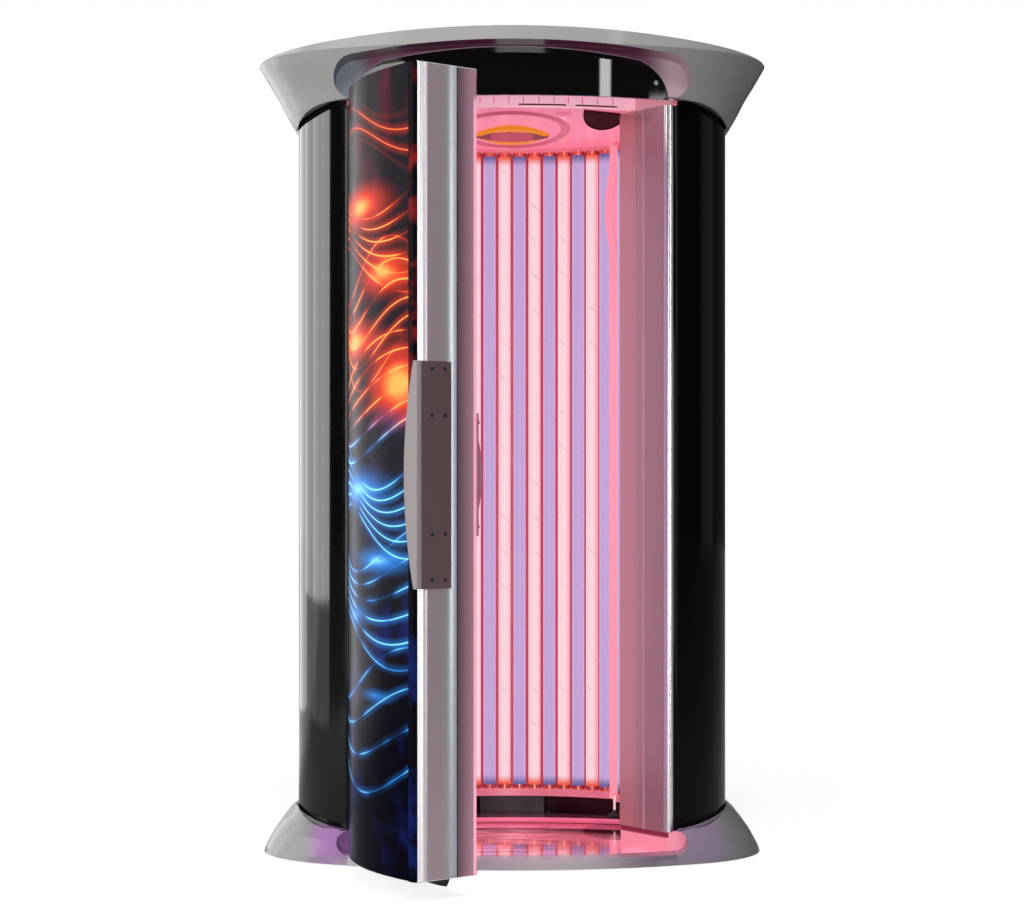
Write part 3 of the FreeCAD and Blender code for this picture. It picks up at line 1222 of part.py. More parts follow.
# ---- cabin fittings ---------------------------------------------------------------------------
def make_columns():
    """Ribbed columns between the rear and side lamps."""
    column = sector(REAR_CENTRE, COLUMN_FACE_RADIUS, COLUMN_BACK_RADIUS, COLUMN_FIRST_BEARING, COLUMN_LAST_BEARING,
                    HOLDER_BOTTOM, CEILING_UNDER)
    room = sector(REAR_CENTRE, COLUMN_FACE_RADIUS + COLUMN_WALL, COLUMN_BACK_RADIUS - COLUMN_WALL,
                  COLUMN_FIRST_BEARING + COLUMN_EDGE_ANGLE, COLUMN_LAST_BEARING - COLUMN_EDGE_ANGLE,
                  HOLDER_BOTTOM + COLUMN_WALL, CEILING_UNDER + MERGE)
    column = column.cut(room)
    for offset in COLUMN_GROOVE_ANGLES:
        middle = (COLUMN_FIRST_BEARING + COLUMN_LAST_BEARING) / 2 + offset
        groove = sector(REAR_CENTRE, COLUMN_FACE_RADIUS - MERGE, COLUMN_FACE_RADIUS + COLUMN_GROOVE,
                        middle - COLUMN_GROOVE_HALF_ANGLE, middle + COLUMN_GROOVE_HALF_ANGLE,
                        HOLDER_BOTTOM - MERGE, CEILING_UNDER + MERGE)
        column = column.cut(groove)
    return both_sides(column)


def bow(low, high, reach, bar, width):
    """Bow handle drawn about the origin: it stands out along -Y and is width wide along X."""
    def at(y, z):
        return Vector(-width / 2, y, z)

    middle = (low + high) / 2
    outer = [at(0, low), at(-reach, middle), at(0, high)]
    inner = [at(0, low + bar * 2.2), at(-reach + bar, middle), at(0, high - bar * 2.2)]
    edges = [
        arc(outer[0], outer[1], outer[2]),
        Part.makeLine(outer[2], inner[2]),
        arc(inner[2], inner[1], inner[0]),
        Part.makeLine(inner[0], outer[0]),
    ]
    return Part.Face(Part.Wire(edges)).extrude(Vector(width, 0, 0))


def make_grab_handles():
    """Bow handles high on the two columns."""
    handle = bow(HANDLE_LOW, HANDLE_HIGH, HANDLE_REACH, HANDLE_BAR, HANDLE_WIDTH)
    middle = (COLUMN_FIRST_BEARING + COLUMN_LAST_BEARING) / 2
    return both_sides(facing_centre(handle, REAR_CENTRE, FITTING_RADIUS, middle))


def button_heights():
    """Heights of the two buttons' centres."""
    return [PANEL_Z - BUTTON_PITCH / 2, PANEL_Z + BUTTON_PITCH / 2]


def make_panel():
    """Small control panel on the left column with bores for its buttons."""
    width, depth, height = PANEL_SIZE
    panel = block(-width / 2, width / 2, -depth, 0, PANEL_Z - height / 2, PANEL_Z + height / 2)
    for z in button_heights():
        mouth = Vector(0, -depth - MERGE, z)
        bore = Part.makeCylinder(BUTTON_RADIUS + SEAT_GAP, depth + MERGE - PANEL_BACK, mouth, Vector(0, 1, 0))
        panel = panel.cut(bore)
    return facing_centre(panel, REAR_CENTRE, FITTING_RADIUS, PANEL_BEARING)


def make_button(z):
    """Round push button in the control panel."""
    depth = PANEL_SIZE[1]
    length = depth - PANEL_BACK - BUTTON_TRAVEL - SEAT_GAP + BUTTON_DROP
    button = Part.makeCylinder(BUTTON_RADIUS, length, Vector(0, -depth - BUTTON_DROP, z), Vector(0, 1, 0))
    return facing_centre(button, REAR_CENTRE, FITTING_RADIUS, PANEL_BEARING)


def make_ballasts():
    """Ballasts stacked behind the side reflectors."""
    width, depth, height = BALLAST_SIZE
    x, y = BALLAST_CENTRE
    stack = []
    for sign in (-1, 1):
        for index in range(BALLASTS_PER_SIDE):
            low = CHASSIS_TOP + index * height
            stack.append(block(sign * x - width / 2, sign * x + width / 2, y - depth / 2, y + depth / 2,
                               low, low + height))
    return Part.makeCompound(stack)


def make_box():
    """Electrical box behind the rear reflector."""
    width, depth, height = BOX_SIZE
    return block(-width / 2, width / 2, BOX_FRONT_Y, BOX_FRONT_Y + depth, CHASSIS_TOP, CHASSIS_TOP + height)


def make_inlet():
    """Cable gland from the electrical box out through the rear shell."""
    start = BOX_FRONT_Y + BOX_SIZE[1]
    back = Vector(0, 1, 0)
    body = Part.makeCylinder(INLET_RADIUS, HALF_WIDTH + INLET_REACH - start, Vector(0, start, INLET_Z), back)
    nut = Part.makeCylinder(INLET_NUT_RADIUS, INLET_NUT, Vector(0, HALF_WIDTH + SHELL_GAP, INLET_Z), back)
    bore = Part.makeCylinder(INLET_BORE, HALF_WIDTH + INLET_REACH - start - SKIRT_WALL + MERGE,
                             Vector(0, start + SKIRT_WALL, INLET_Z), back)
    return fuse([body, nut]).cut(bore)


# ---- door leaf --------------------------------------------------------------------------------
def make_leaf_profile(hand):
    """Aluminium edge profile of the leaf."""
    face = hollow(leaf_section(hand), PROFILE_WALL)
    face.translate(UP * LEAF_BOTTOM)
    profile = face.extrude(UP * (LEAF_TOP - LEAF_BOTTOM))
    if hand > 0:
        stop = GROOVE_AT + GROOVE_WIDTH
        groove = face_strip(hand, leaf_corner(hand), GROOVE_AT, stop, MERGE, -GROOVE_DEPTH,
                            LEAF_BOTTOM - MERGE, LEAF_TOP + MERGE)
        profile = profile.cut(groove)
    return profile


def leaf_span(hand, distance=0.0):
    """Bearing of the side of an edge profile where the skin meets it."""
    side = leaf_points(hand)[3]
    return math.degrees(math.atan2(side.x, side.y - FRONT_CENTRE_Y)) % 360 + distance


def clear_of_profiles(shape, low, high):
    """Cut a curved leaf piece back from both edge profiles."""
    for hand in (1, -1):
        room = leaf_section(hand).makeOffset2D(SEAT_GAP)
        shape = shape.cut(raise_section(room, low - MERGE, high + MERGE))
    return shape


def make_skin():
    """Curved outer panel of the leaf."""
    skin = sector(FRONT_CENTRE, FRONT_RADIUS - SKIN_SHEET, FRONT_RADIUS, leaf_span(1), leaf_span(-1),
                  LEAF_BOTTOM, LEAF_TOP)
    return clear_of_profiles(skin, LEAF_BOTTOM, LEAF_TOP)


def door_lamp_places():
    """Plan points of the leaf's lamps."""
    first = 180 - DOOR_LAMP_PITCH_ANGLE * (DOOR_LAMP_COUNT - 1) / 2
    return [at_bearing(FRONT_CENTRE, DOOR_LAMP_RADIUS, first + DOOR_LAMP_PITCH_ANGLE * index)
            for index in range(DOOR_LAMP_COUNT)]


def make_rails():
    """Bottom and top end plates of the leaf, with lamp sockets."""
    inner = DOOR_LAMP_RADIUS - LAMP_RADIUS - MERGE
    outer = FRONT_RADIUS - SKIN_SHEET - SEAT_GAP
    rails = []
    for low, face, side in ((LEAF_BOTTOM, DOOR_LAMP_BOTTOM, 1), (DOOR_LAMP_TOP, DOOR_LAMP_TOP, -1)):
        rail = sector(FRONT_CENTRE, inner, outer, leaf_span(1), leaf_span(-1), low, low + RAIL_HEIGHT)
        rail = clear_of_profiles(rail, low, low + RAIL_HEIGHT)
        rail = max(rail.Solids, key=lambda solid: solid.Volume)
        rails.append(socketed(rail, door_lamp_places(), face, side))
    return Part.makeCompound(rails)


def make_door_reflector():
    """Curved reflector behind the leaf's lamps."""
    inner = DOOR_LAMP_RADIUS + LAMP_RADIUS + MERGE
    outer = inner + REFLECTOR_SHEET
    sheet = sector(FRONT_CENTRE, inner, outer, leaf_span(1), leaf_span(-1), DOOR_LAMP_BOTTOM, DOOR_LAMP_TOP)
    sheet = clear_of_profiles(sheet, DOOR_LAMP_BOTTOM, DOOR_LAMP_TOP)
    return max(sheet.Solids, key=lambda solid: solid.Volume)


def make_handle_plate():
    """Fixing plate of the pull handle on the closing face."""
    plate = face_strip(1, leaf_corner(1), PLATE_FROM, PLATE_TO, 0, PLATE_SHEET, PLATE_LOW, PLATE_HIGH)
    for shank in plate_screws(PLATE_SCREW_SHANK + SEAT_GAP, -MERGE, PLATE_SHEET + MERGE):
        plate = plate.cut(shank)
    return plate


def plate_screws(radius, start, stop):
    """Cylinders at the plate's screw places, between two distances out from the closing face."""
    solids = []
    for along in PLATE_SCREWS_S:
        for z in PLATE_SCREWS_Z:
            foot = along_face(1, along, start, leaf_corner(1)) + UP * z
            solids.append(Part.makeCylinder(radius, stop - start, foot, outward(1)))
    return solids


def make_handle_screws():
    """Screws of the handle plate and of the inner handle."""
    heads = plate_screws(PLATE_SCREW_RADIUS, PLATE_SHEET, PLATE_SHEET + PLATE_SCREW_HEAD)
    shanks = plate_screws(PLATE_SCREW_SHANK, SEAT_GAP, PLATE_SHEET + MERGE)
    face = INNER_PLATE_SHEET
    heads += inner_screws(PLATE_SCREW_RADIUS, face, face + PLATE_SCREW_HEAD)
    shanks += inner_screws(PLATE_SCREW_SHANK, SEAT_GAP, face + MERGE)
    return Part.makeCompound([fuse([head, shank]) for head, shank in zip(heads, shanks)])


def make_pull_handle():
    """Outer grip: a flange rolled over the nose of the closing profile, bowed along its free edge."""
    corner = along_face(1, 0, PLATE_SHEET, leaf_corner(1))
    back = (leaf_points(1)[3] - leaf_corner(1)).normalize()
    out = Vector(-back.y, back.x, 0)
    turn = math.radians(GRIP_SLANT_ANGLE)
    lean = back * math.cos(turn) + out * math.sin(turn)
    inward = Vector(lean.y, -lean.x, 0)
    root = along_face(1, PLATE_FROM - SEAT_GAP, PLATE_SHEET, leaf_corner(1))
    points = [
        root - outward(1) * PLATE_SHEET,
        root,
        corner,
        corner + lean * GRIP_REACH,
        corner + lean * GRIP_REACH + inward * PLATE_SHEET,
        corner + slant(1) * PLATE_SHEET - outward(1) * PLATE_SHEET,
    ]
    section = rounded_section(points, [0, 0, GRIP_BEND, MERGE, MERGE, MERGE])
    flange = raise_section(section, PLATE_LOW, PLATE_HIGH)
    middle = (PLATE_LOW + PLATE_HIGH) / 2
    start = corner - lean * GRIP_REACH - inward * GRIP_REACH
    edges = [
        arc(start + lean * (GRIP_REACH + GRIP_END) + UP * PLATE_LOW,
            start + lean * (GRIP_REACH * 2) + UP * middle,
            start + lean * (GRIP_REACH + GRIP_END) + UP * PLATE_HIGH),
        Part.makeLine(start + lean * (GRIP_REACH + GRIP_END) + UP * PLATE_HIGH, start + UP * PLATE_HIGH),
        Part.makeLine(start + UP * PLATE_HIGH, start + UP * PLATE_LOW),
        Part.makeLine(start + UP * PLATE_LOW, start + lean * (GRIP_REACH + GRIP_END) + UP * PLATE_LOW),
    ]
    keep = Part.Face(Part.Wire(edges)).extrude(inward * (GRIP_REACH * 2))
    return flange.common(keep)


def on_inner_end(shape):
    """Place a shape drawn about the origin, with -Y out and +X to the lamps, on the profile's inner end."""
    corner, inner, side, _ = leaf_points(1)
    across = (inner - side).normalize()
    placed = shape.copy()
    placed.rotate(Vector(0, 0, 0), UP, 180 + math.degrees(math.atan2(across.y, across.x)))
    placed.translate((inner + side) / 2 + Vector(-across.y, across.x, 0) * SEAT_GAP)
    return placed


def inner_screws(radius, start, stop):
    """Cylinders at the inner handle's screw places, between two distances out from the profile's end."""
    x = INNER_SCREW_SIDE - INNER_PLATE_WIDTH / 2
    heights = (INNER_PLATE_LOW + INNER_SCREW_INSET, INNER_PLATE_HIGH - INNER_SCREW_INSET)
    return [on_inner_end(Part.makeCylinder(radius, stop - start, Vector(x, -start, z), Vector(0, -1, 0)))
            for z in heights]


def make_inner_handle():
    """Inner pull handle: a thick plate on the profile's inner end, with a bow along its lamp side."""
    width = INNER_PLATE_WIDTH
    plate = block(-width / 2, width / 2, -INNER_PLATE_SHEET, 0, INNER_PLATE_LOW, INNER_PLATE_HIGH)
    upright_edges = [edge for edge in plate.Edges if edge.BoundBox.ZLength > width
                     and edge.BoundBox.YMax < -MERGE]
    plate = plate.makeFillet(PROFILE_EDGE_ROUND, upright_edges)
    inset = INNER_BAR * 3
    reach = INNER_REACH - INNER_PLATE_SHEET + MERGE
    grip = bow(INNER_PLATE_LOW + inset, INNER_PLATE_HIGH - inset, reach, INNER_BAR, INNER_BAR)
    grip.translate(Vector((width - INNER_BAR) / 2, MERGE - INNER_PLATE_SHEET, 0))
    handle = on_inner_end(fuse([plate, grip]))
    for shank in inner_screws(PLATE_SCREW_SHANK + SEAT_GAP, -MERGE, INNER_PLATE_SHEET + MERGE):
        handle = handle.cut(shank)
    return handle


def make_guide():
    """Ramp under the closing profile."""
    corner = leaf_corner(1)
    back = -(PROFILE_WIDTH - GUIDE_WIDTH) / 2
    points = [along_face(1, GUIDE_FROM, back, corner) + UP * LEAF_BOTTOM,
              along_face(1, GUIDE_TIP, back, corner) + UP * (LEAF_BOTTOM - GUIDE_DROP),
              along_face(1, GUIDE_TO, back, corner) + UP * LEAF_BOTTOM]
    face = Part.Face(Part.makePolygon(points + points[:1]))
    return face.extrude(outward(1) * -GUIDE_WIDTH)


# ---- assembly ---------------------------------------------------------------------------------
def build():
    """All sub-parts of the booth by name."""
    parts = {}
    skirt, sill = make_skirt()
    parts["base_skirt"] = clear_of(skirt, grown_blocks())
    parts["entrance_sill"] = clear_of(sill, grown_blocks())
    parts["levelling_feet"] = make_feet()
    parts["chassis"] = make_chassis()
    parts["floor_plate"] = make_floor(grown_blocks() + upright_rooms(CHASSIS_TOP - MERGE, FLOOR_TOP + MERGE))
    parts["support_feet"] = make_supports()
    left, right, rear = make_shells()
    parts["left_side_shell"] = left
    parts["right_side_shell"] = right
    parts["rear_shell"] = rear
    parts["hinge_post"] = make_post(-1)
    parts["strike_post"] = make_post(1)
    parts["post_blocks"] = make_post_blocks()
    parts["door_seal"] = make_seal()
    parts["frame_uprights"] = make_uprights()
    parts["roof_frame"] = make_roof()
    parts["hinge_brackets"] = make_brackets()
    parts["hinge_bushes"] = make_bushes()
    parts["crown_shell"] = make_crown()
    parts["crown_cover"] = make_cover()
    parts["crown_light"] = make_light()
    parts["sign_panel"] = make_sign()
    parts["sign_screws"] = make_sign_screws()
    parts["exhaust_duct"] = make_exhaust_duct()
    parts["exhaust_fan_motor"] = make_exhaust_motor()
    parts["exhaust_fan_rotor"] = make_exhaust_rotor()
    parts["ceiling_panel"] = make_ceiling()
    parts["fan_grille_ring"] = make_fan_ring()
    parts["cabin_fan_motor"] = make_cabin_motor()
    parts["cabin_fan_rotor"] = make_cabin_rotor()
    parts["mist_nozzle"] = make_nozzle()
    parts["speaker_grilles"] = make_speakers()
    rear_places = rear_lamp_places()
    side_places = side_lamp_places()
    parts["rear_uv_lamps"] = lamp_tubes(rear_places[1::2], LAMP_BOTTOM, LAMP_TOP)
    parts["rear_beauty_lamps"] = lamp_tubes(rear_places[0::2], LAMP_BOTTOM, LAMP_TOP)
    parts["side_uv_lamps"] = lamp_tubes(side_places[1::2], LAMP_BOTTOM, LAMP_TOP)
    parts["side_beauty_lamps"] = lamp_tubes(side_places[0::2], LAMP_BOTTOM, LAMP_TOP)
    parts["cabin_lamp_caps"] = lamp_caps(rear_places + side_places, LAMP_BOTTOM, LAMP_TOP)
    parts["lamp_holders"] = make_holders()
    parts["rear_reflector"] = make_rear_reflector()
    parts["side_reflectors"] = make_side_reflectors()
    parts["cabin_columns"] = make_columns()
    parts["grab_handles"] = make_grab_handles()
    parts["control_panel"] = make_panel()
    parts["session_button"] = make_button(button_heights()[1])
    parts["fan_button"] = make_button(button_heights()[0])
    parts["ballasts"] = make_ballasts()
    parts["electrical_box"] = make_box()
    parts["cable_inlet"] = make_inlet()
    leaf = {
        "door_skin": make_skin(),
        "closing_profile": make_leaf_profile(1),
        "hinge_profile": make_leaf_profile(-1),
        "door_rails": make_rails(),
        "door_reflector": make_door_reflector(),
        "door_lamps": lamp_tubes(door_lamp_places(), DOOR_LAMP_BOTTOM, DOOR_LAMP_TOP),
        "door_lamp_caps": lamp_caps(door_lamp_places(), DOOR_LAMP_BOTTOM, DOOR_LAMP_TOP),
        "handle_plate": make_handle_plate(),
        "handle_screws": make_handle_screws(),
        "pull_handle": make_pull_handle(),
        "inner_handle": make_inner_handle(),
        "door_guide": make_guide(),
        "hinge_pins": make_pins(),
    }
    for name, shape in leaf.items():
        parts[name] = at_rest(shape)
    return parts


for part_name, part_shape in build().items():
    part_shape.exportStep("parts/" + part_name + ".step")
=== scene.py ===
"""Dresses the vertical tanning booth: finishes, fine pieces, floor, light and camera. Metres, row frame."""

import logging
import math
from dataclasses import dataclass, field
from enum import Enum
from typing import Callable, Sequence

import bmesh
import bpy
from mathutils import Matrix, Vector


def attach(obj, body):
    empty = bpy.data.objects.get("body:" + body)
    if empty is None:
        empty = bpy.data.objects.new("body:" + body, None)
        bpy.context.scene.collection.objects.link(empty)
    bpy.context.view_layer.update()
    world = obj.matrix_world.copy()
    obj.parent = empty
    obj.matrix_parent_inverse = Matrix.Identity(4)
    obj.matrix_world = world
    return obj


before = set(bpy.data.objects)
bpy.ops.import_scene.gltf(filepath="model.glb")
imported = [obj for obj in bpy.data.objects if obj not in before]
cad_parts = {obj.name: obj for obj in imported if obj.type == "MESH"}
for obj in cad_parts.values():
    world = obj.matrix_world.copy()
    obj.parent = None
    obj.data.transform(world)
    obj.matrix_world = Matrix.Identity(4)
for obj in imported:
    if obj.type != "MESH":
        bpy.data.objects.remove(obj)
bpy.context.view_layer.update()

log = logging.getLogger("booth")

Colour = tuple[float, float, float]
Span = tuple[float, float]
Socket = bpy.types.NodeSocket

ROOT_BODY = "booth"
LEAF_BODY = "door_leaf"
SIDES = (("right", 1), ("left", -1))

# The leaf's hinge, and the arcs and corners of the body's plan.
PIVOT = Vector((-0.39856, -0.50100, 0.0))
OPEN_ANGLE = math.radians(78.0)
FRONT_RADIUS = 0.970
FRONT_CENTRE = Vector((0.0, 0.370, 0.0))
CORNER_RADIUS = 0.260
CORNER_X = 0.343
CORNER_Y = -0.25164
CORNER_TURN = 0.5042
CABIN_CENTRE = Vector((0.0, -0.05, 0.0))

# Heights of the ceiling, of the crown's lower edge and of the leaf's ends.
CEILING_Z = 2.076
CROWN_EDGE_Z = 2.088
LEAF_LOW_Z = 0.054
LEAF_HIGH_Z = 2.070

# The closing face of the leaf at rest, from its nose to its inner edge.
NOSE = Vector((-0.23503, -1.29797, 0.0))
INNER_EDGE = Vector((-0.08756, -1.15557, 0.0))
UP = Vector((0.0, 0.0, 1.0))

# Orange peel and other fine relief, as cells per metre, strength and depth.
PEEL_SCALE = 900.0
PEEL = 0.02
FINE_DEPTH = 0.0004
UNLIT = (0.0, 0.0, 0.0)

# The values between which most of the noise lies.
NOISE_SPAN = (0.3, 0.7)


def leaf_point(point: Vector) -> Vector:
    """Turns a point of the closed leaf to where the leaf stands at rest."""
    return Matrix.Rotation(-OPEN_ANGLE, 3, "Z") @ (point - PIVOT) + PIVOT


LEAF_CENTRE = leaf_point(FRONT_CENTRE)


def front_point(x: float, z: float, radius: float = FRONT_RADIUS) -> Vector:
    """Point of the body's front arc at a place across and a height."""
    return Vector((x, FRONT_CENTRE.y - math.sqrt(radius * radius - x * x), z))


def closing_point(along: float, out: float, z: float) -> Vector:
    """Point of the leaf's closing face: along it from the nose, out in front of it, and up."""
    side = (INNER_EDGE - NOSE).normalized()
    return NOSE + side * along + side.cross(UP) * out + UP * z


def plan_point(turn: float, grow: float, z: float, hand: int) -> Vector:
    """Point of the body's rounded plan.

    Args:
        turn: Angle from straight ahead, in radians.
        grow: Distance outside the body.
        z: Height.
        hand: 1 for the right side, -1 for the left.

    Returns:
        The point in the row frame.
    """
    if turn < CORNER_TURN:
        radius, x, y = FRONT_RADIUS + grow, 0.0, FRONT_CENTRE.y
    else:
        radius, x, y = CORNER_RADIUS + grow, CORNER_X, CORNER_Y
    return Vector((hand * (x + radius * math.sin(turn)), y - radius * math.cos(turn), z))


def between(places: Sequence[Span], at: float) -> float:
    """Straight-line value between listed places, held beyond the ends.

    Args:
        places: Pairs of a place and its value, in order.
        at: The place that is asked for.

    Returns:
        The value there.
    """
    if at <= places[0][0]:
        return places[0][1]
    for (low, first), (high, second) in zip(places, places[1:]):
        if at <= high:
            return first + (second - first) * (at - low) / (high - low)
    return places[-1][1]


def spread(low: float, high: float, count: int) -> list[float]:
    """Evenly spaced values from one end to the other."""
    return [low + (high - low) * index / (count - 1) for index in range(count)]


def round_section(radius: float, count: int) -> list[Span]:
    """Points of a circle around a path."""
    turns = [2.0 * math.pi * index / count for index in range(count)]
    return [(radius * math.cos(turn), radius * math.sin(turn)) for turn in turns]


def box_section(wide: Span, tall: Span) -> list[Span]:
    """Corners of a rectangle, in order around it."""
    return [(wide[0], tall[0]), (wide[1], tall[0]), (wide[1], tall[1]), (wide[0], tall[1])]


def scaled(colour: Colour, factor: float) -> Colour:
    """A colour made lighter or darker."""
    return (colour[0] * factor, colour[1] * factor, colour[2] * factor)


class Graph:
    """Writer for the node tree of a material or of the world."""

    def __init__(self, owner: bpy.types.Material | bpy.types.World, output: str) -> None:
        """Starts an empty tree with its output node.

        Args:
            owner: The material or world that the tree belongs to.
            output: The output node's type name.
        """
        owner.use_nodes = True
        self.tree = owner.node_tree
        self.tree.nodes.clear()
        self.output = self.tree.nodes.new(output)
        self._coords: bpy.types.Node | None = None

    def node(self, kind: str, **settings: object) -> bpy.types.Node:
        """Adds a node.

        Args:
            kind: The node's type name.
            **settings: Attributes set on it.

        Returns:
            The new node.
        """
        made = self.tree.nodes.new(kind)
        for key, value in settings.items():
            setattr(made, key, value)
        return made

    def feed(self, socket: Socket, value: object) -> None:
        """Links a socket or sets its value.

        Args:
            socket: The input.
            value: Another node's output, a number or a colour.
        """
        if isinstance(value, bpy.types.NodeSocket):
            self.tree.links.new(value, socket)
        elif isinstance(value, tuple) and len(value) == 3 and socket.type == "RGBA":
            socket.default_value = (*value, 1.0)
        else:
            socket.default_value = value

    def coords(self, name: str) -> Socket:
        """One output of the tree's texture coordinates.

        Args:
            name: The output's name, such as Normal.

        Returns:
            The output.
        """
        if self._coords is None:
            self._coords = self.node("ShaderNodeTexCoord")
        return self._coords.outputs[name]

    @property
    def place(self) -> Socket:
        """Object coordinates, which are row-frame metres at rest."""
        return self.coords("Object")

    def axes(self, vector: Socket) -> tuple[Socket, Socket, Socket]:
        """Splits a vector.

        Args:
            vector: What is split.

        Returns:
            Its three parts.
        """
        split = self.node("ShaderNodeSeparateXYZ")
        self.feed(split.inputs[0], vector)
        return split.outputs[0], split.outputs[1], split.outputs[2]

    def sum(self, operation: str, first: object, second: object = 0.0) -> Socket:
        """Adds a Math node.

        Args:
            operation: Its operation, such as ADD.
            first: The first input.
            second: The second input.

        Returns:
            Its output.
        """
        made = self.node("ShaderNodeMath", operation=operation)
        self.feed(made.inputs[0], first)
        self.feed(made.inputs[1], second)
        return made.outputs[0]

    def dot(self, first: tuple[object, object], second: tuple[object, object]) -> Socket:
        """Sum of the products of two pairs, part by part."""
        products = [self.sum("MULTIPLY", one, other) for one, other in zip(first, second)]
        return self.sum("ADD", *products)

    def reach(self, x: Socket, y: Socket) -> Socket:
        """Length of a flat vector."""
        return self.sum("SQRT", self.dot((x, y), (x, y)))

    def span(self, value: Socket, low: float, high: float, start: float = 0.0, stop: float = 1.0) -> Socket:
        """Maps a range of values smoothly onto another.

        Args:
            value: What is mapped.
            low: The range's first end.
            high: Its other end.
            start: The result at the first end.
            stop: The result at the other end.

        Returns:
            The mapped value.
        """
        made = self.node("ShaderNodeMapRange", interpolation_type="SMOOTHSTEP")
        if low > high:
            low, high, start, stop = high, low, stop, start
        for index, item in enumerate((value, low, high, start, stop)):
            self.feed(made.inputs[index], item)
        return made.outputs[0]

    def band(self, value: Socket, middle: float, half: float, soft: float) -> Socket:
        """1 within a distance of a value, falling to 0 over a soft edge."""
        gap = self.sum("ABSOLUTE", self.sum("SUBTRACT", value, middle))
        return self.span(gap, half, half + soft, 1.0, 0.0)

    def mix(self, factor: object, first: object, second: object, blend: str = "MIX") -> Socket:
        """Mixes two colours.

        Args:
            factor: How much of the second shows.
            first: The first colour.
            second: The second colour.
            blend: The blend mode.

        Returns:
            The mixed colour.
        """
        made = self.node("ShaderNodeMix", data_type="RGBA", blend_type=blend)
        self.feed(made.inputs[0], factor)
        self.feed(made.inputs[6], first)
        self.feed(made.inputs[7], second)
        return made.outputs[2]

    def noise(self, scale: float, detail: float = 2.0, stretch: Sequence[float] = (1.0, 1.0, 1.0)) -> Socket:
        """Fractal noise on the object's coordinates.

        Args:
            scale: Cells per metre.
            detail: Octaves.
            stretch: Factor on each axis.

        Returns:
            The noise's value.
        """
        mapping = self.node("ShaderNodeMapping")
        self.feed(mapping.inputs[0], self.place)
        mapping.inputs[3].default_value = tuple(stretch)
        made = self.node("ShaderNodeTexNoise")
        self.feed(made.inputs["Vector"], mapping.outputs[0])
        made.inputs["Scale"].default_value = scale
        made.inputs["Detail"].default_value = detail
        return made.outputs[0]

    def uneven(self, scale: float, low: float, high: float) -> Socket:
        """Number that wanders between two values."""
        return self.span(self.noise(scale), *NOISE_SPAN, low, high)

    def waver(self, factor: Socket, tint: Colour, share: float) -> Socket:
        """Tint that runs from darker to lighter by a share of itself."""
        return self.mix(factor, scaled(tint, 1.0 - share), scaled(tint, 1.0 + share))

    def clouded(self, tint: Colour, share: float, scale: float, detail: float = 2.0) -> Socket:
        """Tint with soft clouds in it."""
        return self.waver(self.noise(scale, detail), tint, share)

    def streaks(self) -> Socket:
        """Long drawn streaks along Z."""
        return self.noise(160.0, 3.0, (1.0, 1.0, 0.012))

    def bump(self, height: Socket, strength: float, distance: float) -> Socket:
        """Adds a bump.

        Args:
            height: The height at each point.
            strength: How strong the bump is.
            distance: How many metres a height of 1 is.

        Returns:
            The bent normal.
        """
        made = self.node("ShaderNodeBump")
        made.inputs["Strength"].default_value = strength
        made.inputs["Distance"].default_value = distance
        self.feed(made.inputs["Height"], height)
        return made.outputs[0]

    def surroundings(self) -> tuple[Socket, Socket]:
        """Tells which rays see the background.

        Returns:
            1 where it is seen directly or through glass, and 1 where it is seen in a reflection.
        """
        path = self.node("ShaderNodeLightPath")
        seen = self.sum("MAXIMUM", path.outputs["Is Camera Ray"], path.outputs["Is Transmission Ray"])
        return seen, path.outputs["Is Glossy Ray"]

    def surface(self, **inputs: object) -> None:
        """Closes the tree with one principled shader.

        Args:
            **inputs: Values or links for its sockets, with _ for blanks in their names.
        """
        shader = self.node("ShaderNodeBsdfPrincipled")
        for name, value in inputs.items():
            self.feed(shader.inputs[name.replace("_", " ")], value)
        self.tree.links.new(shader.outputs[0], self.output.inputs[0])


@dataclass(frozen=True)
class Finish:
    """What every finish has: a name, and a method that writes its node tree."""

    name: str

    def material(self) -> bpy.types.Material:
        """Makes the material.

        Returns:
            The new material.
        """
        made = bpy.data.materials.new(self.name)
        self.write(Graph(made, "ShaderNodeOutputMaterial"))
        return made

    def write(self, g: Graph) -> None:
        """Writes the node tree."""
        raise NotImplementedError


@dataclass(frozen=True)
class Moulding(Finish):
    """Coloured plastic: piano black, matt trim, or pink with a painted glow that stands in for the cabin's
    light.
    """

    tint: Colour
    roughness: float = 0.2
    mottle: float = 0.04
    grain: float = 0.0
    gloss: float = 0.5
    glow: Colour = (0.0, 0.0, 0.0)
    glow_strength: float = 0.0

    def write(self, g: Graph) -> None:
        """Cloudy tint, uneven gloss, a fine orange peel or grain, and a painted glow where one is given.

        Args:
            g: The tree that it writes.
        """
        cloud = g.noise(5.0, 3.0)
        inputs: dict[str, object] = {
            "Base_Color": g.waver(cloud, self.tint, self.mottle),
            "Roughness": g.uneven(9.0, self.roughness * 0.85, self.roughness * 1.15),
            "Specular_IOR_Level": self.gloss,
            "Normal": g.bump(g.noise(PEEL_SCALE, 1.0), PEEL + self.grain, FINE_DEPTH),
        }
        # The glow is painted light: it stands in for the cabin's light on a part that is no lamp.
        if self.glow_strength > 0.0:
            inputs["Emission_Color"] = g.mix(cloud, scaled(self.glow, 0.9), self.glow)
            inputs["Emission_Strength"] = self.glow_strength
        g.surface(**inputs)


@dataclass(frozen=True)
class PaintedSpill:
    """A patch of painted light on the gel coat that stands in for the cabin's light; a colour darker than the
    coat paints shade instead: its colour, the middle of its patch and how far it reaches.
    """

    colour: Colour
    middle: tuple[float, float, float]
    reach: float
    core: float = 0.3


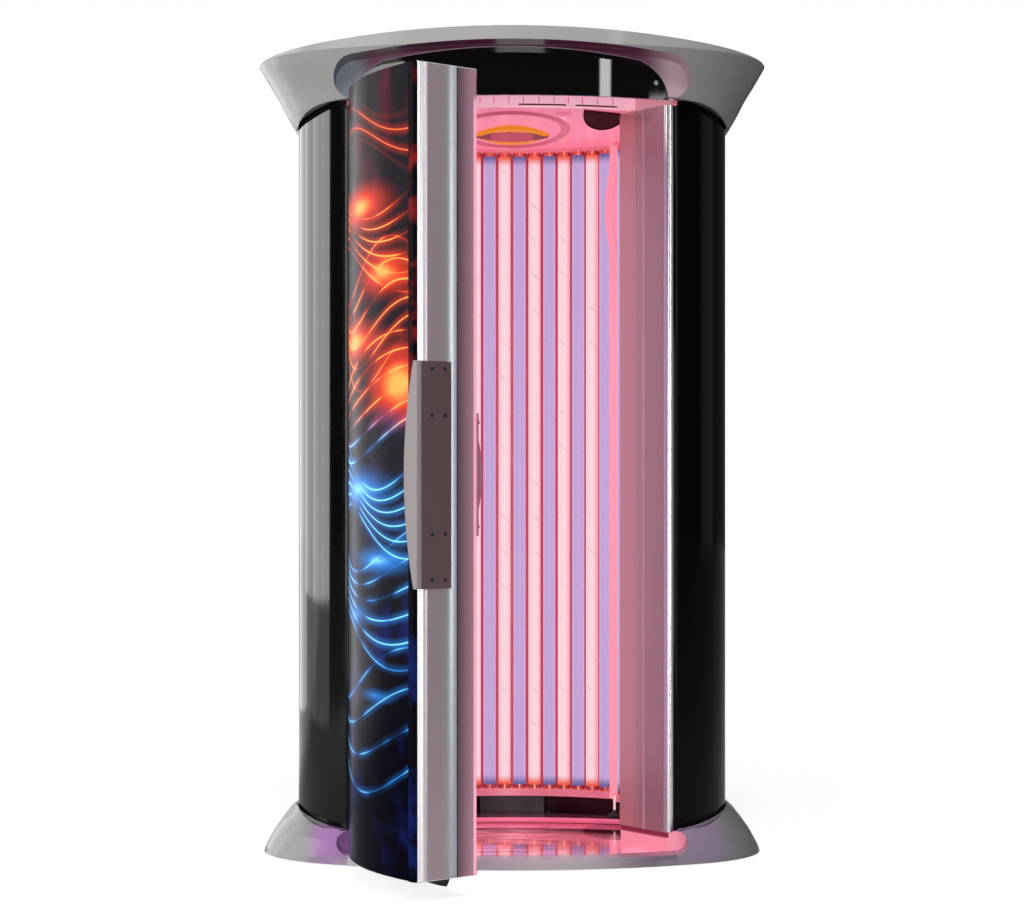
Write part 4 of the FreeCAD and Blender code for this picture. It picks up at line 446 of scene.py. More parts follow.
@dataclass(frozen=True)
class GelCoat(Finish):
    """Pale gel coat of crown and base, with the cabin's light painted over it as coloured patches (painted
    light).
    """

    tint: Colour
    painted_spills: tuple[PaintedSpill, ...] = ()
    # Painted light on the return around the crown's recess: along the middle and at each end.
    inner_painted_light: Colour | None = None
    right_painted_light: Colour = (0.50, 0.34, 0.40)
    left_painted_light: Colour = (0.24, 0.24, 0.29)
    right_x: Span = (0.33, 0.46)
    left_x: Span = (-0.40, -0.46)
    facing_down: Span = (-0.72, -0.90)
    facing_in: Span = (-0.15, -0.45)
    front_y: Span = (-0.36, -0.42)
    roughness: Span = (0.198, 0.242)
    gloss: float = 0.14
    coat: float = 0.08
    coat_roughness: float = 0.04

    def write(self, g: Graph) -> None:
        """Even tint, with painted patches of the cabin's light over it, and painted light on the recess's
        return where the coat has it.

        Args:
            g: The tree that it writes.
        """
        base = g.clouded(self.tint, 0.02, 5.0, 3.0)
        for spill in self.painted_spills:
            away = g.node("ShaderNodeVectorMath", operation="DISTANCE")
            g.feed(away.inputs[0], g.place)
            away.inputs[1].default_value = spill.middle
            near = g.span(away.outputs["Value"], spill.reach * spill.core, spill.reach, 1.0, 0.0)
            base = g.mix(near, base, spill.colour)
        if self.inner_painted_light is not None:
            base = self.recess(g, base, self.inner_painted_light)
        g.surface(
            Base_Color=base,
            Roughness=g.uneven(9.0, *self.roughness),
            Specular_IOR_Level=self.gloss,
            Coat_Weight=self.coat,
            Coat_Roughness=self.coat_roughness,
            Normal=g.bump(g.noise(PEEL_SCALE, 1.0), PEEL, FINE_DEPTH),
        )

    def recess(self, g: Graph, base: Socket, middle_painted_light: Colour) -> Socket:
        """Paints the cabin's light on the return around the crown's recess (painted light).

        Args:
            g: The tree.
            base: The coat's colour elsewhere.
            middle_painted_light: The return's colour between its ends.

        Returns:
            The coat's colour with the return in it.
        """
        x, y, _ = g.axes(g.place)
        nx, _, nz = g.axes(g.coords("Normal"))
        side = g.sum("MULTIPLY", g.sum("SIGN", x), nx)
        inner = g.sum("MAXIMUM", g.span(nz, *self.facing_down), g.span(side, *self.facing_in))
        inner = g.sum("MULTIPLY", inner, g.span(y, *self.front_y))
        ends = g.mix(g.span(x, *self.right_x), middle_painted_light, self.right_painted_light)
        ends = g.mix(g.span(x, *self.left_x), ends, self.left_painted_light)
        return g.mix(inner, base, ends)


@dataclass(frozen=True)
class StandingPlate(Finish):
    """Glossy standing plate, with a pink painted glow towards the entrance's ends and a dark oval of painted
    shade at each side.
    """

    tint: Colour = (0.62, 0.20, 0.27)
    # The glow and its spans paint the cabin's light on the plate; the dark colour paints shade in the ovals.
    glow: Colour = (0.80, 0.24, 0.33)
    oval_painted_shade: Colour = (0.22, 0.03, 0.06)
    metallic: float = 0.7
    roughness: Span = (0.05, 0.09)
    ends_x: Span = (0.24, 0.38)
    ends_painted_glow: Span = (0.10, 0.85)
    front_y: Span = (-0.02, -0.20)
    front_painted_glow: Span = (0.55, 1.0)
    patch_level: Span = (0.40, 0.60)
    patch_painted_glow: float = 0.40
    patch_x: Span = (0.22, 0.0)
    lamps_y: Span = (0.30, 0.10)
    oval_middle: Span = (0.31, 0.05)
    oval_half: Span = (0.105, 0.21)
    oval_edge: Span = (0.85, 1.05)

    def write(self, g: Graph) -> None:
        """Half mirror with a pink painted glow that grows towards both sides and dies away under the lamps,
        and painted shade in the ovals.

        Args:
            g: The tree that it writes.
        """
        x, y, _ = g.axes(g.place)
        across = g.sum("ABSOLUTE", x)
        ends = g.span(across, *self.ends_x, *self.ends_painted_glow)
        ends = g.sum("MULTIPLY", ends, g.span(y, *self.front_y, *self.front_painted_glow))
        painted_patches = g.span(g.noise(7.0, 3.0, (1.0, 2.6, 1.0)), *self.patch_level, 0.0, self.patch_painted_glow)
        painted_patches = g.sum("MULTIPLY", painted_patches, g.span(x, *self.patch_x))
        glow = g.sum("MULTIPLY", g.sum("ADD", ends, painted_patches), g.span(y, *self.lamps_y))
        off_x = g.sum("DIVIDE", g.sum("SUBTRACT", across, self.oval_middle[0]), self.oval_half[0])
        off_y = g.sum("DIVIDE", g.sum("SUBTRACT", y, self.oval_middle[1]), self.oval_half[1])
        oval = g.span(g.dot((off_x, off_y), (off_x, off_y)), *self.oval_edge, 1.0, 0.0)
        glow = g.sum("MULTIPLY", glow, g.sum("SUBTRACT", 1.0, oval))
        g.surface(
            Base_Color=g.mix(oval, g.clouded(self.tint, 0.05, 5.0), self.oval_painted_shade),
            Roughness=g.uneven(9.0, *self.roughness),
            Metallic=self.metallic,
            Emission_Color=g.mix(glow, UNLIT, self.glow),
            Emission_Strength=1.0,
        )


@dataclass(frozen=True)
class Metal(Finish):
    """Bare or anodised metal with a faint drawn grain along Z."""

    tint: Colour
    roughness: float = 0.28
    grain: float = 0.05

    def write(self, g: Graph) -> None:
        """Long streaks in tint and roughness.

        Args:
            g: The tree that it writes.
        """
        streaks = g.streaks()
        g.surface(
            Base_Color=g.waver(streaks, self.tint, self.grain),
            Metallic=1.0,
            Roughness=g.span(streaks, *NOISE_SPAN, self.roughness * 0.94, self.roughness * 1.06),
        )


@dataclass(frozen=True)
class ClosingMetal(Finish):
    """Closing profile: a painted highlight on the rounded nose and on the swelling rib, painted shade on the
    inner step that turns to painted cabin light at the inner edge, and a printed outer flange.
    """

    # The nose and rib tints are painted highlights, the step tint is painted shade, and the inner tint and
    # the glow are painted light from the cabin.
    nose: Colour = (0.98, 0.95, 0.97)
    face: Colour = (0.50, 0.39, 0.44)
    rib: Colour = (0.47, 0.50, 0.53)
    step: Colour = (0.23, 0.135, 0.165)
    inner: Colour = (0.66, 0.35, 0.45)
    glow: Colour = (0.62, 0.24, 0.34)
    flange_black: Colour = (0.002, 0.002, 0.004)
    cool_print: Colour = (0.004, 0.012, 0.10)
    warm_print: Colour = (0.22, 0.008, 0.006)
    nose_end: Span = (0.020, 0.042)
    rib_start: Span = (0.078, 0.118)
    nose_length: float = 0.040
    nose_bend: float = 18.5
    rib_from: float = 0.100
    rib_length: float = 0.034
    rib_bend: float = 6.0
    step_at: float = 0.1365
    step_soft: float = 0.0005
    edge_at: float = 0.1915
    edge_soft: float = 0.003
    edge_top: Span = (1.98, 2.01)
    flange_facing: Span = (0.45, 0.62)
    print_height: Span = (1.33, 1.45)
    print_level: Span = (0.45, 0.65)
    metallic: float = 0.55
    roughness: Span = (0.30, 0.31)

    def write(self, g: Graph) -> None:
        """Tint with painted highlights and painted shade, relief, and a painted glow at the inner edge, over
        the distance from the nose, with the flange and its print apart.

        Args:
            g: The tree that it writes.
        """
        x, y, z = g.axes(g.place)
        side = (INNER_EDGE - NOSE).normalized()
        along = g.dot((g.sum("SUBTRACT", x, NOSE.x), g.sum("SUBTRACT", y, NOSE.y)), (side.x, side.y))
        nx, ny, _ = g.axes(g.coords("Normal"))
        outward = (g.sum("SUBTRACT", x, LEAF_CENTRE.x), g.sum("SUBTRACT", y, LEAF_CENTRE.y))
        start, stop = self.flange_facing
        flange = g.span(g.dot((nx, ny), outward), start * FRONT_RADIUS, stop * FRONT_RADIUS)
        edge = g.span(along, self.edge_at, self.edge_at + self.edge_soft)
        edge = g.sum("MULTIPLY", edge, g.span(z, *self.edge_top, 1.0, 0.0))
        height = g.sum("MULTIPLY", self.relief(g, along), g.sum("SUBTRACT", 1.0, flange))
        g.surface(
            Base_Color=g.mix(flange, self.tints(g, along), self.flange_black),
            Metallic=g.span(flange, 0.0, 1.0, self.metallic, 0.0),
            Specular_IOR_Level=g.span(flange, 0.0, 1.0, 0.5, 0.006),
            Roughness=g.span(g.streaks(), *NOISE_SPAN, *self.roughness),
            Normal=g.bump(height, 1.0, 1.0),
            Emission_Color=g.mix(flange, g.mix(edge, UNLIT, self.glow), self.printed(g, z)),
            Emission_Strength=1.0,
        )

    def tints(self, g: Graph, along: Socket) -> Socket:
        """Colour of the metal from the nose inward: a painted highlight on the nose and the rib, and painted
        shade on the step that turns to painted light at the inner edge.

        Args:
            g: The tree.
            along: Distance from the nose.

        Returns:
            The colour.
        """
        tint = g.mix(g.span(along, *self.nose_end), self.nose, self.face)
        tint = g.mix(g.span(along, *self.rib_start), tint, self.rib)
        inside = g.mix(g.span(along, self.step_at, self.edge_at), self.step, self.inner)
        within = g.span(along, self.step_at - self.step_soft, self.step_at + self.step_soft)
        return g.mix(within, tint, inside)

    def relief(self, g: Graph, along: Socket) -> Socket:
        """Height of the rounded nose and of the swelling rib.

        Args:
            g: The tree.
            along: Distance from the nose.

        Returns:
            The height in metres.
        """
        nose = g.sum("MAXIMUM", g.sum("SUBTRACT", self.nose_length, along), 0.0)
        swell = g.sum("MAXIMUM", g.sum("SUBTRACT", along, self.rib_from), 0.0)
        swell = g.sum("MINIMUM", swell, self.rib_length)
        height = g.sum("MULTIPLY", g.sum("MULTIPLY", swell, swell), self.rib_bend)
        return g.sum("SUBTRACT", height, g.sum("MULTIPLY", g.sum("MULTIPLY", nose, nose), self.nose_bend))

    def printed(self, g: Graph, z: Socket) -> Socket:
        """Faint glow of the print that runs over the flange.

        Args:
            g: The tree.
            z: Height.

        Returns:
            The glow's colour.
        """
        height = g.sum("ADD", z, g.sum("MULTIPLY", g.noise(9.0), 0.3))
        colour = g.mix(g.span(height, *self.print_height), self.cool_print, self.warm_print)
        return g.mix(g.span(g.noise(7.0, 3.0, (1.0, 1.0, 1.6)), *self.print_level), UNLIT, colour)


@dataclass(frozen=True)
class PostMetal(Finish):
    """Strike post: satin metal, with the cabin's light painted on the side that faces in."""

    tint: Colour = (0.62, 0.52, 0.57)
    # The inner tint and the glow are painted light on the side that faces in.
    inner_painted_light: Colour = (0.44, 0.35, 0.39)
    glow: Colour = (0.20, 0.040, 0.040)
    facing_in: Span = (-0.60, -0.80)
    lit_x: Span = (0.325, 0.372)
    lit_level: Span = (1.0, 0.25)
    metallic: float = 0.6
    roughness: Span = (0.28, 0.32)

    def write(self, g: Graph) -> None:
        """Drawn streaks, and on the inner side a painted tint and a pink painted glow.

        Args:
            g: The tree that it writes.
        """
        nx, _, _ = g.axes(g.coords("Normal"))
        x, _, _ = g.axes(g.place)
        inner = g.span(nx, *self.facing_in)
        lit = g.sum("MULTIPLY", inner, g.span(x, *self.lit_x, *self.lit_level))
        g.surface(
            Base_Color=g.mix(inner, self.tint, self.inner_painted_light),
            Metallic=self.metallic,
            Roughness=g.span(g.streaks(), *NOISE_SPAN, *self.roughness),
            Emission_Color=g.mix(lit, UNLIT, self.glow),
            Emission_Strength=1.0,
        )


@dataclass(frozen=True)
class BlockLight(Finish):
    """Blocks at the posts' ends with painted light: a pale pink painted glow above, and below a painted
    maroon shade over the plate's painted light.
    """

    above: Colour = (0.47, 0.18, 0.22)
    shade: Colour = (0.16, 0.014, 0.034)
    below: Colour = (0.66, 0.20, 0.27)
    shade_from: Span = (0.062, 0.068)
    above_from: Span = (0.9, 1.1)
    roughness: Span = (0.28, 0.32)
    gloss: float = 0.2

    def write(self, g: Graph) -> None:
        """Painted glow and painted shade by height.

        Args:
            g: The tree that it writes.
        """
        _, _, z = g.axes(g.place)
        glow = g.mix(g.span(z, *self.shade_from), self.below, self.shade)
        glow = g.mix(g.span(z, *self.above_from), glow, self.above)
        g.surface(
            Base_Color=g.mix(0.5, glow, scaled(self.shade, 0.5)),
            Roughness=g.uneven(9.0, *self.roughness),
            Specular_IOR_Level=self.gloss,
            Emission_Color=glow,
            Emission_Strength=1.0,
        )


@dataclass(frozen=True)
class CabinLiner(Finish):
    """Pink liner with a soft painted glow that stands in for the cabin lamps' light."""

    tint: Colour
    glow: Colour
    glow_strength: float
    roughness: float = 0.3
    gloss: float = 0.4

    def write(self, g: Graph) -> None:
        """Cloudy tint over a soft painted glow.

        Args:
            g: The tree that it writes.
        """
        g.surface(
            Base_Color=g.clouded(self.tint, 0.04, 4.0),
            Roughness=g.uneven(12.0, self.roughness * 0.9, self.roughness * 1.1),
            Specular_IOR_Level=self.gloss,
            Normal=g.bump(g.noise(500.0), 0.03, FINE_DEPTH),
            Emission_Color=self.lit(g),
            Emission_Strength=self.glow_strength,
        )

    def lit(self, g: Graph) -> Socket:
        """Colour of the painted glow, nearly even."""
        return g.mix(g.noise(4.0), scaled(self.glow, 0.95), self.glow)


@dataclass(frozen=True)
class CeilingLiner(CabinLiner):
    """Ceiling liner with a painted glow, a painted highlight band on its front upstand and painted shade
    towards the front.
    """

    tint: Colour = (0.74, 0.24, 0.32)
    glow: Colour = (0.84, 0.20, 0.27)
    glow_strength: float = 0.55
    # The band colour is a painted highlight on the upstand, and the liner towards the front is painted dimmer
    # as shade.
    band: Colour = (1.0, 0.58, 0.70)
    band_z: Span = (2.0765, 2.079)
    band_y: Span = (-0.30, -0.36)
    near_y: Span = (-0.36, -0.10)
    front_painted_shade_level: float = 0.86

    def lit(self, g: Graph) -> Socket:
        """Colour of the painted glow by depth and height.

        Args:
            g: The tree.

        Returns:
            The glow's colour.
        """
        _, y, z = g.axes(g.place)
        band = g.sum("MULTIPLY", g.span(z, *self.band_z), g.span(y, *self.band_y))
        near = g.mix(g.span(y, *self.near_y), scaled(self.glow, self.front_painted_shade_level), self.glow)
        return g.mix(band, near, self.band)


@dataclass(frozen=True)
class Coated(Finish):
    """Powder-coated or oxidised steel."""

    tint: Colour
    roughness: float = 0.45

    def write(self, g: Graph) -> None:
        """Fine speckle and pebbled coat.

        Args:
            g: The tree that it writes.
        """
        speck = g.noise(700.0, 2.0)
        g.surface(
            Base_Color=g.waver(speck, self.tint, 0.15),
            Roughness=g.uneven(14.0, self.roughness * 0.9, self.roughness * 1.1),
            Normal=g.bump(speck, 0.12, FINE_DEPTH),
        )


class LampKind(Enum):
    """The two sorts of lamp, as core, flank and end colours."""

    BEAUTY = ((0.96, 0.66, 0.72), (0.93, 0.36, 0.45), (0.85, 0.09, 0.04))
    TANNING = ((0.53, 0.37, 0.66), (0.68, 0.36, 0.66), (0.12, 0.10, 0.30))


@dataclass(frozen=True)
class LampGlass(Finish):
    """Lit lamp glass: bright towards the cabin, deeper at its flanks and ends, with faint turns."""

    kind: LampKind
    bottom: float = 0.108
    top: float = 2.054
    end_length: float = 0.035
    core_facing: Span = (0.2, 0.9)
    turn_pitch: float = 0.107
    turn_edge: Span = (0.02, 0.07)
    turn_depth: float = 0.3
    turn_gaps: Span = (0.40, 0.62)
    turn_shade: float = 0.8
    strength: float = 0.97
    unlit: Colour = (0.03, 0.02, 0.025)
    roughness: float = 0.2
    gloss: float = 0.25

    def write(self, g: Graph) -> None:
        """Colour from the height and from the side that a point of the glass faces.

        Args:
            g: The tree that it writes.
        """
        core, flank, end = self.kind.value
        x, y, z = g.axes(g.place)
        nx, ny, _ = g.axes(g.coords("Normal"))
        inward = (g.sum("SUBTRACT", CABIN_CENTRE.x, x), g.sum("SUBTRACT", CABIN_CENTRE.y, y))
        facing = g.sum("DIVIDE", g.dot((nx, ny), inward), g.reach(*inward))
        colour = g.mix(g.span(facing, *self.core_facing), flank, core)
        turn = g.sum("MULTIPLY", g.sum("ARCTAN2", ny, nx), 1.0 / (2.0 * math.pi))
        phase = g.sum("FRACT", g.sum("ADD", g.sum("DIVIDE", z, self.turn_pitch), turn))
        mark = g.span(g.sum("ABSOLUTE", g.sum("SUBTRACT", phase, 0.5)), *self.turn_edge, self.turn_depth, 0.0)
        mark = g.sum("MULTIPLY", mark, g.span(g.noise(30.0), *self.turn_gaps))
        colour = g.mix(mark, colour, scaled(flank, self.turn_shade))
        low_end = g.span(z, self.bottom, self.bottom + self.end_length, 1.0, 0.0)
        high_end = g.span(z, self.top - self.end_length, self.top, 0.0, 1.0)
        g.surface(
            Base_Color=self.unlit,
            Roughness=self.roughness,
            Specular_IOR_Level=self.gloss,
            Emission_Color=g.mix(g.sum("MAXIMUM", low_end, high_end), colour, end),
            Emission_Strength=self.strength,
        )


@dataclass(frozen=True)
class Bundle:
    """A sheaf of thin glowing lines on the leaf's print, all waving together."""

    height: float
    swing: float
    waves: float
    phase: float
    pitch: float
    lines: float
    width: float = 0.0034
    strength: float = 1.0


@dataclass(frozen=True)
class Flare:
    """A soft glow on the leaf's print, long across and low."""

    across: float
    height: float
    reach: float
    flat: float
    strength: float


@dataclass(frozen=True)
class LeafPrint(Finish):
    """Gloss panel with a print of glowing wave lines and flares, warm above and cool below."""

    bundles: tuple[Bundle, ...]
    flares: tuple[Flare, ...]
    warm: Colour = (1.0, 0.05, 0.006)
    cool: Colour = (0.03, 0.28, 0.90)
    warm_core: Colour = (1.0, 0.55, 0.10)
    cool_core: Colour = (0.30, 0.95, 0.90)
    warm_haze: Colour = (0.15, 0.004, 0.022)
    cool_haze: Colour = (0.010, 0.018, 0.16)
    ground: Colour = (0.0012, 0.0008, 0.004)
    warm_from: Span = (1.18, 1.30)
    haze_from: Span = (1.0, 1.35)
    core_level: Span = (0.75, 2.0)
    haze_level: Span = (0.48, 0.78)
    roughness: Span = (0.16, 0.20)
    gloss: float = 0.008

    def write(self, g: Graph) -> None:
        """Lines and flares over the panel's arc length and height, on a near black ground.

        Args:
            g: The tree that it writes.
        """
        x, y, z = g.axes(g.place)
        turn = g.sum("ARCTAN2", g.sum("SUBTRACT", y, LEAF_CENTRE.y), g.sum("SUBTRACT", x, LEAF_CENTRE.x))
        turn = g.sum("FLOORED_MODULO", turn, 2.0 * math.pi)
        across = g.sum("MULTIPLY", g.sum("SUBTRACT", turn, math.pi), FRONT_RADIUS)
        total: object = 0.0
        for bundle in self.bundles:
            total = g.sum("ADD", total, self.sheaf(g, bundle, across, z))
        for flare in self.flares:
            total = g.sum("ADD", total, self.flare(g, flare, across, z))
        height = g.sum("ADD", z, g.sum("MULTIPLY", g.noise(2.5), 0.16))
        upper = g.span(height, *self.warm_from)
        core = g.mix(g.span(total, *self.core_level), g.mix(upper, self.cool, self.warm),
                     g.mix(upper, self.cool_core, self.warm_core))
        cloud = g.mix(g.span(height, *self.haze_from), self.cool_haze, self.warm_haze)
        haze = g.mix(g.span(g.noise(5.0, 3.0), *self.haze_level), UNLIT, cloud)
        lines = g.mix(g.sum("MINIMUM", total, 1.0), UNLIT, core)
        g.surface(
            Base_Color=g.mix(g.noise(6.0), self.ground, scaled(self.ground, 1.6)),
            Roughness=g.uneven(8.0, *self.roughness),
            Specular_IOR_Level=self.gloss,
            Emission_Color=g.mix(1.0, haze, lines, "ADD"),
            Emission_Strength=1.0,
        )

    def sheaf(self, g: Graph, bundle: Bundle, across: Socket, z: Socket) -> Socket:
        """Glow of one sheaf of lines.

        Args:
            g: The tree.
            bundle: The sheaf's shape.
            across: Distance along the panel's arc.
            z: Height.

        Returns:
            The glow at each point.
        """
        angle = g.sum("ADD", g.sum("MULTIPLY", across, bundle.waves * 2.0 * math.pi), bundle.phase)
        wave = g.sum("ADD", g.sum("MULTIPLY", g.sum("SINE", angle), bundle.swing), bundle.height)
        fan = g.sum("ADD", g.sum("MULTIPLY", g.sum("COSINE", angle), bundle.pitch * 0.45), bundle.pitch)
        order = g.sum("DIVIDE", g.sum("SUBTRACT", z, wave), fan)
        gap = g.sum("ABSOLUTE", g.sum("SUBTRACT", g.sum("FRACT", order), 0.5))
        gap = g.sum("MULTIPLY", gap, fan)
        sharp = g.span(gap, 0.0, bundle.width, 1.5, 0.0)
        halo = g.span(gap, 0.0, bundle.width * 6.0, 0.30, 0.0)
        outer, inner = bundle.lines * 0.5, bundle.lines * 0.36
        within = g.span(g.sum("ABSOLUTE", order), inner, outer, bundle.strength, 0.0)
        flow = g.span(g.noise(3.0 + bundle.phase, 1.0), 0.36, 0.60, 0.10, 1.3)
        return g.sum("MULTIPLY", g.sum("MULTIPLY", g.sum("ADD", sharp, halo), within), flow)

    def flare(self, g: Graph, flare: Flare, across: Socket, z: Socket) -> Socket:
        """Glow of one flare.

        Args:
            g: The tree.
            flare: Its shape.
            across: Distance along the panel's arc.
            z: Height.

        Returns:
            The glow at each point.
        """
        dx = g.sum("SUBTRACT", across, flare.across)
        dz = g.sum("MULTIPLY", g.sum("SUBTRACT", z, flare.height), flare.flat)
        share = g.sum("SUBTRACT", 1.0, g.sum("DIVIDE", g.reach(dx, dz), flare.reach))
        near = g.sum("POWER", g.sum("MAXIMUM", share, 0.0), 2.2)
        return g.sum("MULTIPLY", near, flare.strength)


@dataclass(frozen=True)
class RecessBack(Finish):
    """Back of the crown's recess with painted light: dark magenta in the middle, paler towards its ends where
    the cabin's light falls differently.
    """

    middle: Colour = (0.12, 0.022, 0.062)
    left: Colour = (0.28, 0.31, 0.37)
    right: Colour = (0.52, 0.39, 0.45)
    left_x: Span = (-0.375, -0.440)
    right_x: Span = (0.35, 0.445)
    roughness: Span = (0.28, 0.34)
    glow_strength: float = 0.25

    def write(self, g: Graph) -> None:
        """Painted light by the place across.

        Args:
            g: The tree that it writes.
        """
        x, _, _ = g.axes(g.place)
        colour = g.mix(g.span(x, *self.left_x), self.middle, self.left)
        colour = g.mix(g.span(x, *self.right_x), colour, self.right)
        g.surface(
            Base_Color=colour,
            Roughness=g.uneven(9.0, *self.roughness),
            Emission_Color=colour,
            Emission_Strength=self.glow_strength,
        )


@dataclass(frozen=True)
class LensGlow(Finish):
    """Lit ring around the ceiling fan: orange rim, magenta inside."""

    rim: Colour = (0.86, 0.24, 0.015)
    inside: Colour = (0.46, 0.035, 0.11)
    half: float = 0.111
    length: float = 0.105
    middle: float = 0.124
    edge_soft: float = 0.002
    tips_from: Span = (0.060, 0.066)
    tips_level: float = 0.35
    roughness: Span = (0.42, 0.48)
    gloss: float = 0.04
    glow_strength: float = 0.9

    def write(self, g: Graph) -> None:
        """Colour by the place inside or outside the inner lens outline.

        Args:
            g: The tree that it writes.
        """
        x, y, _ = g.axes(g.place)
        share = g.sum("DIVIDE", x, self.half)
        reach = g.sum("MULTIPLY", g.sum("SUBTRACT", 1.0, g.sum("MULTIPLY", share, share)), self.length)
        depth = g.sum("SUBTRACT", reach, g.sum("ABSOLUTE", g.sum("SUBTRACT", y, self.middle)))
        tips = g.span(g.sum("ABSOLUTE", x), *self.tips_from)
        inner = g.mix(tips, self.inside, scaled(self.inside, self.tips_level))
        colour = g.mix(g.span(depth, -self.edge_soft, self.edge_soft), self.rim, inner)
        g.surface(
            Base_Color=scaled(self.rim, 0.06),
            Roughness=g.uneven(12.0, *self.roughness),
            Specular_IOR_Level=self.gloss,
            Emission_Color=g.mix(g.noise(20.0), colour, g.mix(0.15, colour, self.rim)),
            Emission_Strength=self.glow_strength,
        )


# Crown coat with painted light on its recess's return.
CROWN_COAT = GelCoat("crown_gel_coat", (0.325, 0.325, 0.318), inner_painted_light=(0.15, 0.022, 0.078))
# Painted patches of the cabin's light on the base coat beside the entrance.
BASE_COAT = GelCoat("base_gel_coat", (0.235, 0.228, 0.24), painted_spills=(
    PaintedSpill((0.30, 0.22, 0.33), (0.50, -0.50, 0.06), 0.13),
    PaintedSpill((0.38, 0.18, 0.42), (-0.475, -0.52, 0.06), 0.12),
))
# The sill's patch is darker than its coat: painted shade towards its right end.
SILL_COAT = GelCoat("sill_gel_coat", (0.47, 0.42, 0.445), painted_spills=(
    PaintedSpill((0.19, 0.15, 0.195), (0.47, -0.53, 0.03), 0.34),
))
# Darker copy of the crown's gel coat: painted shade on the crown lip's underside.
LIP_SHADED_COAT = Moulding("lip_shaded_grey", (0.10, 0.097, 0.10), roughness=0.3)
PIANO_BLACK = Moulding("piano_black", (0.0010, 0.0010, 0.0010), roughness=0.06, gloss=0.4)
# Less glossy copy of the piano black, for painted shade on the right shell; the post gaskets use it too.
SHADED_PIANO_BLACK = Moulding("shaded_piano_black", (0.0010, 0.0010, 0.0010), roughness=0.06, gloss=0.15)
SIGN_BLACK = Moulding("sign_black", (0.0010, 0.0010, 0.0014), roughness=0.03)
MATT_BLACK = Moulding("matt_black", (0.012, 0.012, 0.013), roughness=0.55, grain=0.1, gloss=0.3)
GREY_PLASTIC = Moulding("grey_plastic", (0.16, 0.16, 0.17), roughness=0.5, grain=0.1)
STANDING_PLATE = StandingPlate("standing_plate")
RUBBER = Moulding("black_rubber", (0.016, 0.016, 0.017), roughness=0.7, grain=0.2)
KICK_MAROON = Moulding("kick_maroon", (0.035, 0.006, 0.012), roughness=0.25)
MAROON_MESH = Moulding("maroon_mesh", (0.062, 0.002, 0.007), roughness=0.6, grain=0.3, gloss=0.02)
SLOT_MAROON = Moulding("slot_maroon", (0.12, 0.010, 0.025), roughness=0.6, gloss=0.05)
BUTTON_GREEN = Moulding("button_green", (0.06, 0.42, 0.20), roughness=0.3)
BUTTON_GREY = Moulding("button_grey", (0.45, 0.45, 0.48), roughness=0.3)
PINK_GRIP = Moulding("pink_grip", (0.45, 0.16, 0.26), roughness=0.35)
# Pale lines that paint highlights on thin edges.
EDGE_HIGHLIGHT_LINE = Moulding("edge_highlight_line", (0.82, 0.80, 0.82), roughness=0.3)
RIM_HIGHLIGHT_LINE = Moulding("rim_highlight_line", (0.42, 0.33, 0.38), roughness=0.3)
# From here to the lip, each glow is painted light that stands in for the cabin's light on parts that are no
# lamps.
TRAY_PINK = Moulding("tray_pink", (0.60, 0.20, 0.28), roughness=0.15,
                     glow=(0.80, 0.24, 0.33), glow_strength=0.6)
SEAL_GREY = Moulding("seal_grey", (0.48, 0.30, 0.36), roughness=0.35,
                     glow=(0.20, 0.06, 0.09), glow_strength=0.5)
HOLDER_PINK = Moulding("holder_pink", (0.55, 0.16, 0.22), roughness=0.25,
                       glow=(0.85, 0.22, 0.30), glow_strength=0.45)
KICK_PINK = Moulding("kick_rim_pink", (0.55, 0.10, 0.18), glow=(0.85, 0.14, 0.26), glow_strength=0.6)
CUP_PINK = Moulding("cup_pink", (0.60, 0.25, 0.32), glow=(0.80, 0.25, 0.33), glow_strength=0.7)
CUP_MAUVE = Moulding("cup_mauve", (0.22, 0.10, 0.24), roughness=0.25,
                     glow=(0.17, 0.075, 0.20), glow_strength=0.7)
RIB_PINK = Moulding("rib_pink", (0.55, 0.20, 0.27), roughness=0.4,
                    glow=(0.50, 0.12, 0.18), glow_strength=0.5)
LIP_PAINTED_GLOW = Moulding("lip_painted_glow", (0.90, 0.60, 0.66), roughness=0.3,
                    glow=(1.0, 0.62, 0.70), glow_strength=0.6)
BLOCK_LIGHT = BlockLight("block_light")
CEILING_LINER = CeilingLiner("ceiling_liner")
# Darker copy of the ceiling liner: painted shade on the oval.
OVAL_SHADED_LINER = CeilingLiner("oval_shaded_liner", tint=(0.50, 0.10, 0.16), glow=(0.50, 0.075, 0.125))
CLOSING_METAL = ClosingMetal("closing_metal")
POST_METAL = PostMetal("post_metal")
BLACK_METAL = Metal("black_anodised", (0.03, 0.028, 0.03), roughness=0.3)
ALUMINIUM = Metal("satin_aluminium", (0.60, 0.53, 0.575), roughness=0.3)
CAP_METAL = Metal("lamp_cap_metal", (0.85, 0.30, 0.22), roughness=0.35)
# Lighter copy of the post's metal: a painted highlight on the strike post's nose strip.
NOSE_HIGHLIGHT_METAL = Metal("nose_highlight_metal", (0.90, 0.82, 0.86), roughness=0.24)
PLATE_METAL = Metal("plate_metal", (0.32, 0.21, 0.22), roughness=0.3)
SCREW_STEEL = Metal("screw_steel", (0.22, 0.22, 0.23), roughness=0.35)
POLISHED = Metal("polished_steel", (0.80, 0.80, 0.82), roughness=0.12)
ZINC = Metal("zinc_sheet", (0.55, 0.57, 0.60), roughness=0.35)
BRONZE = Metal("bronze", (0.55, 0.38, 0.18), roughness=0.4)
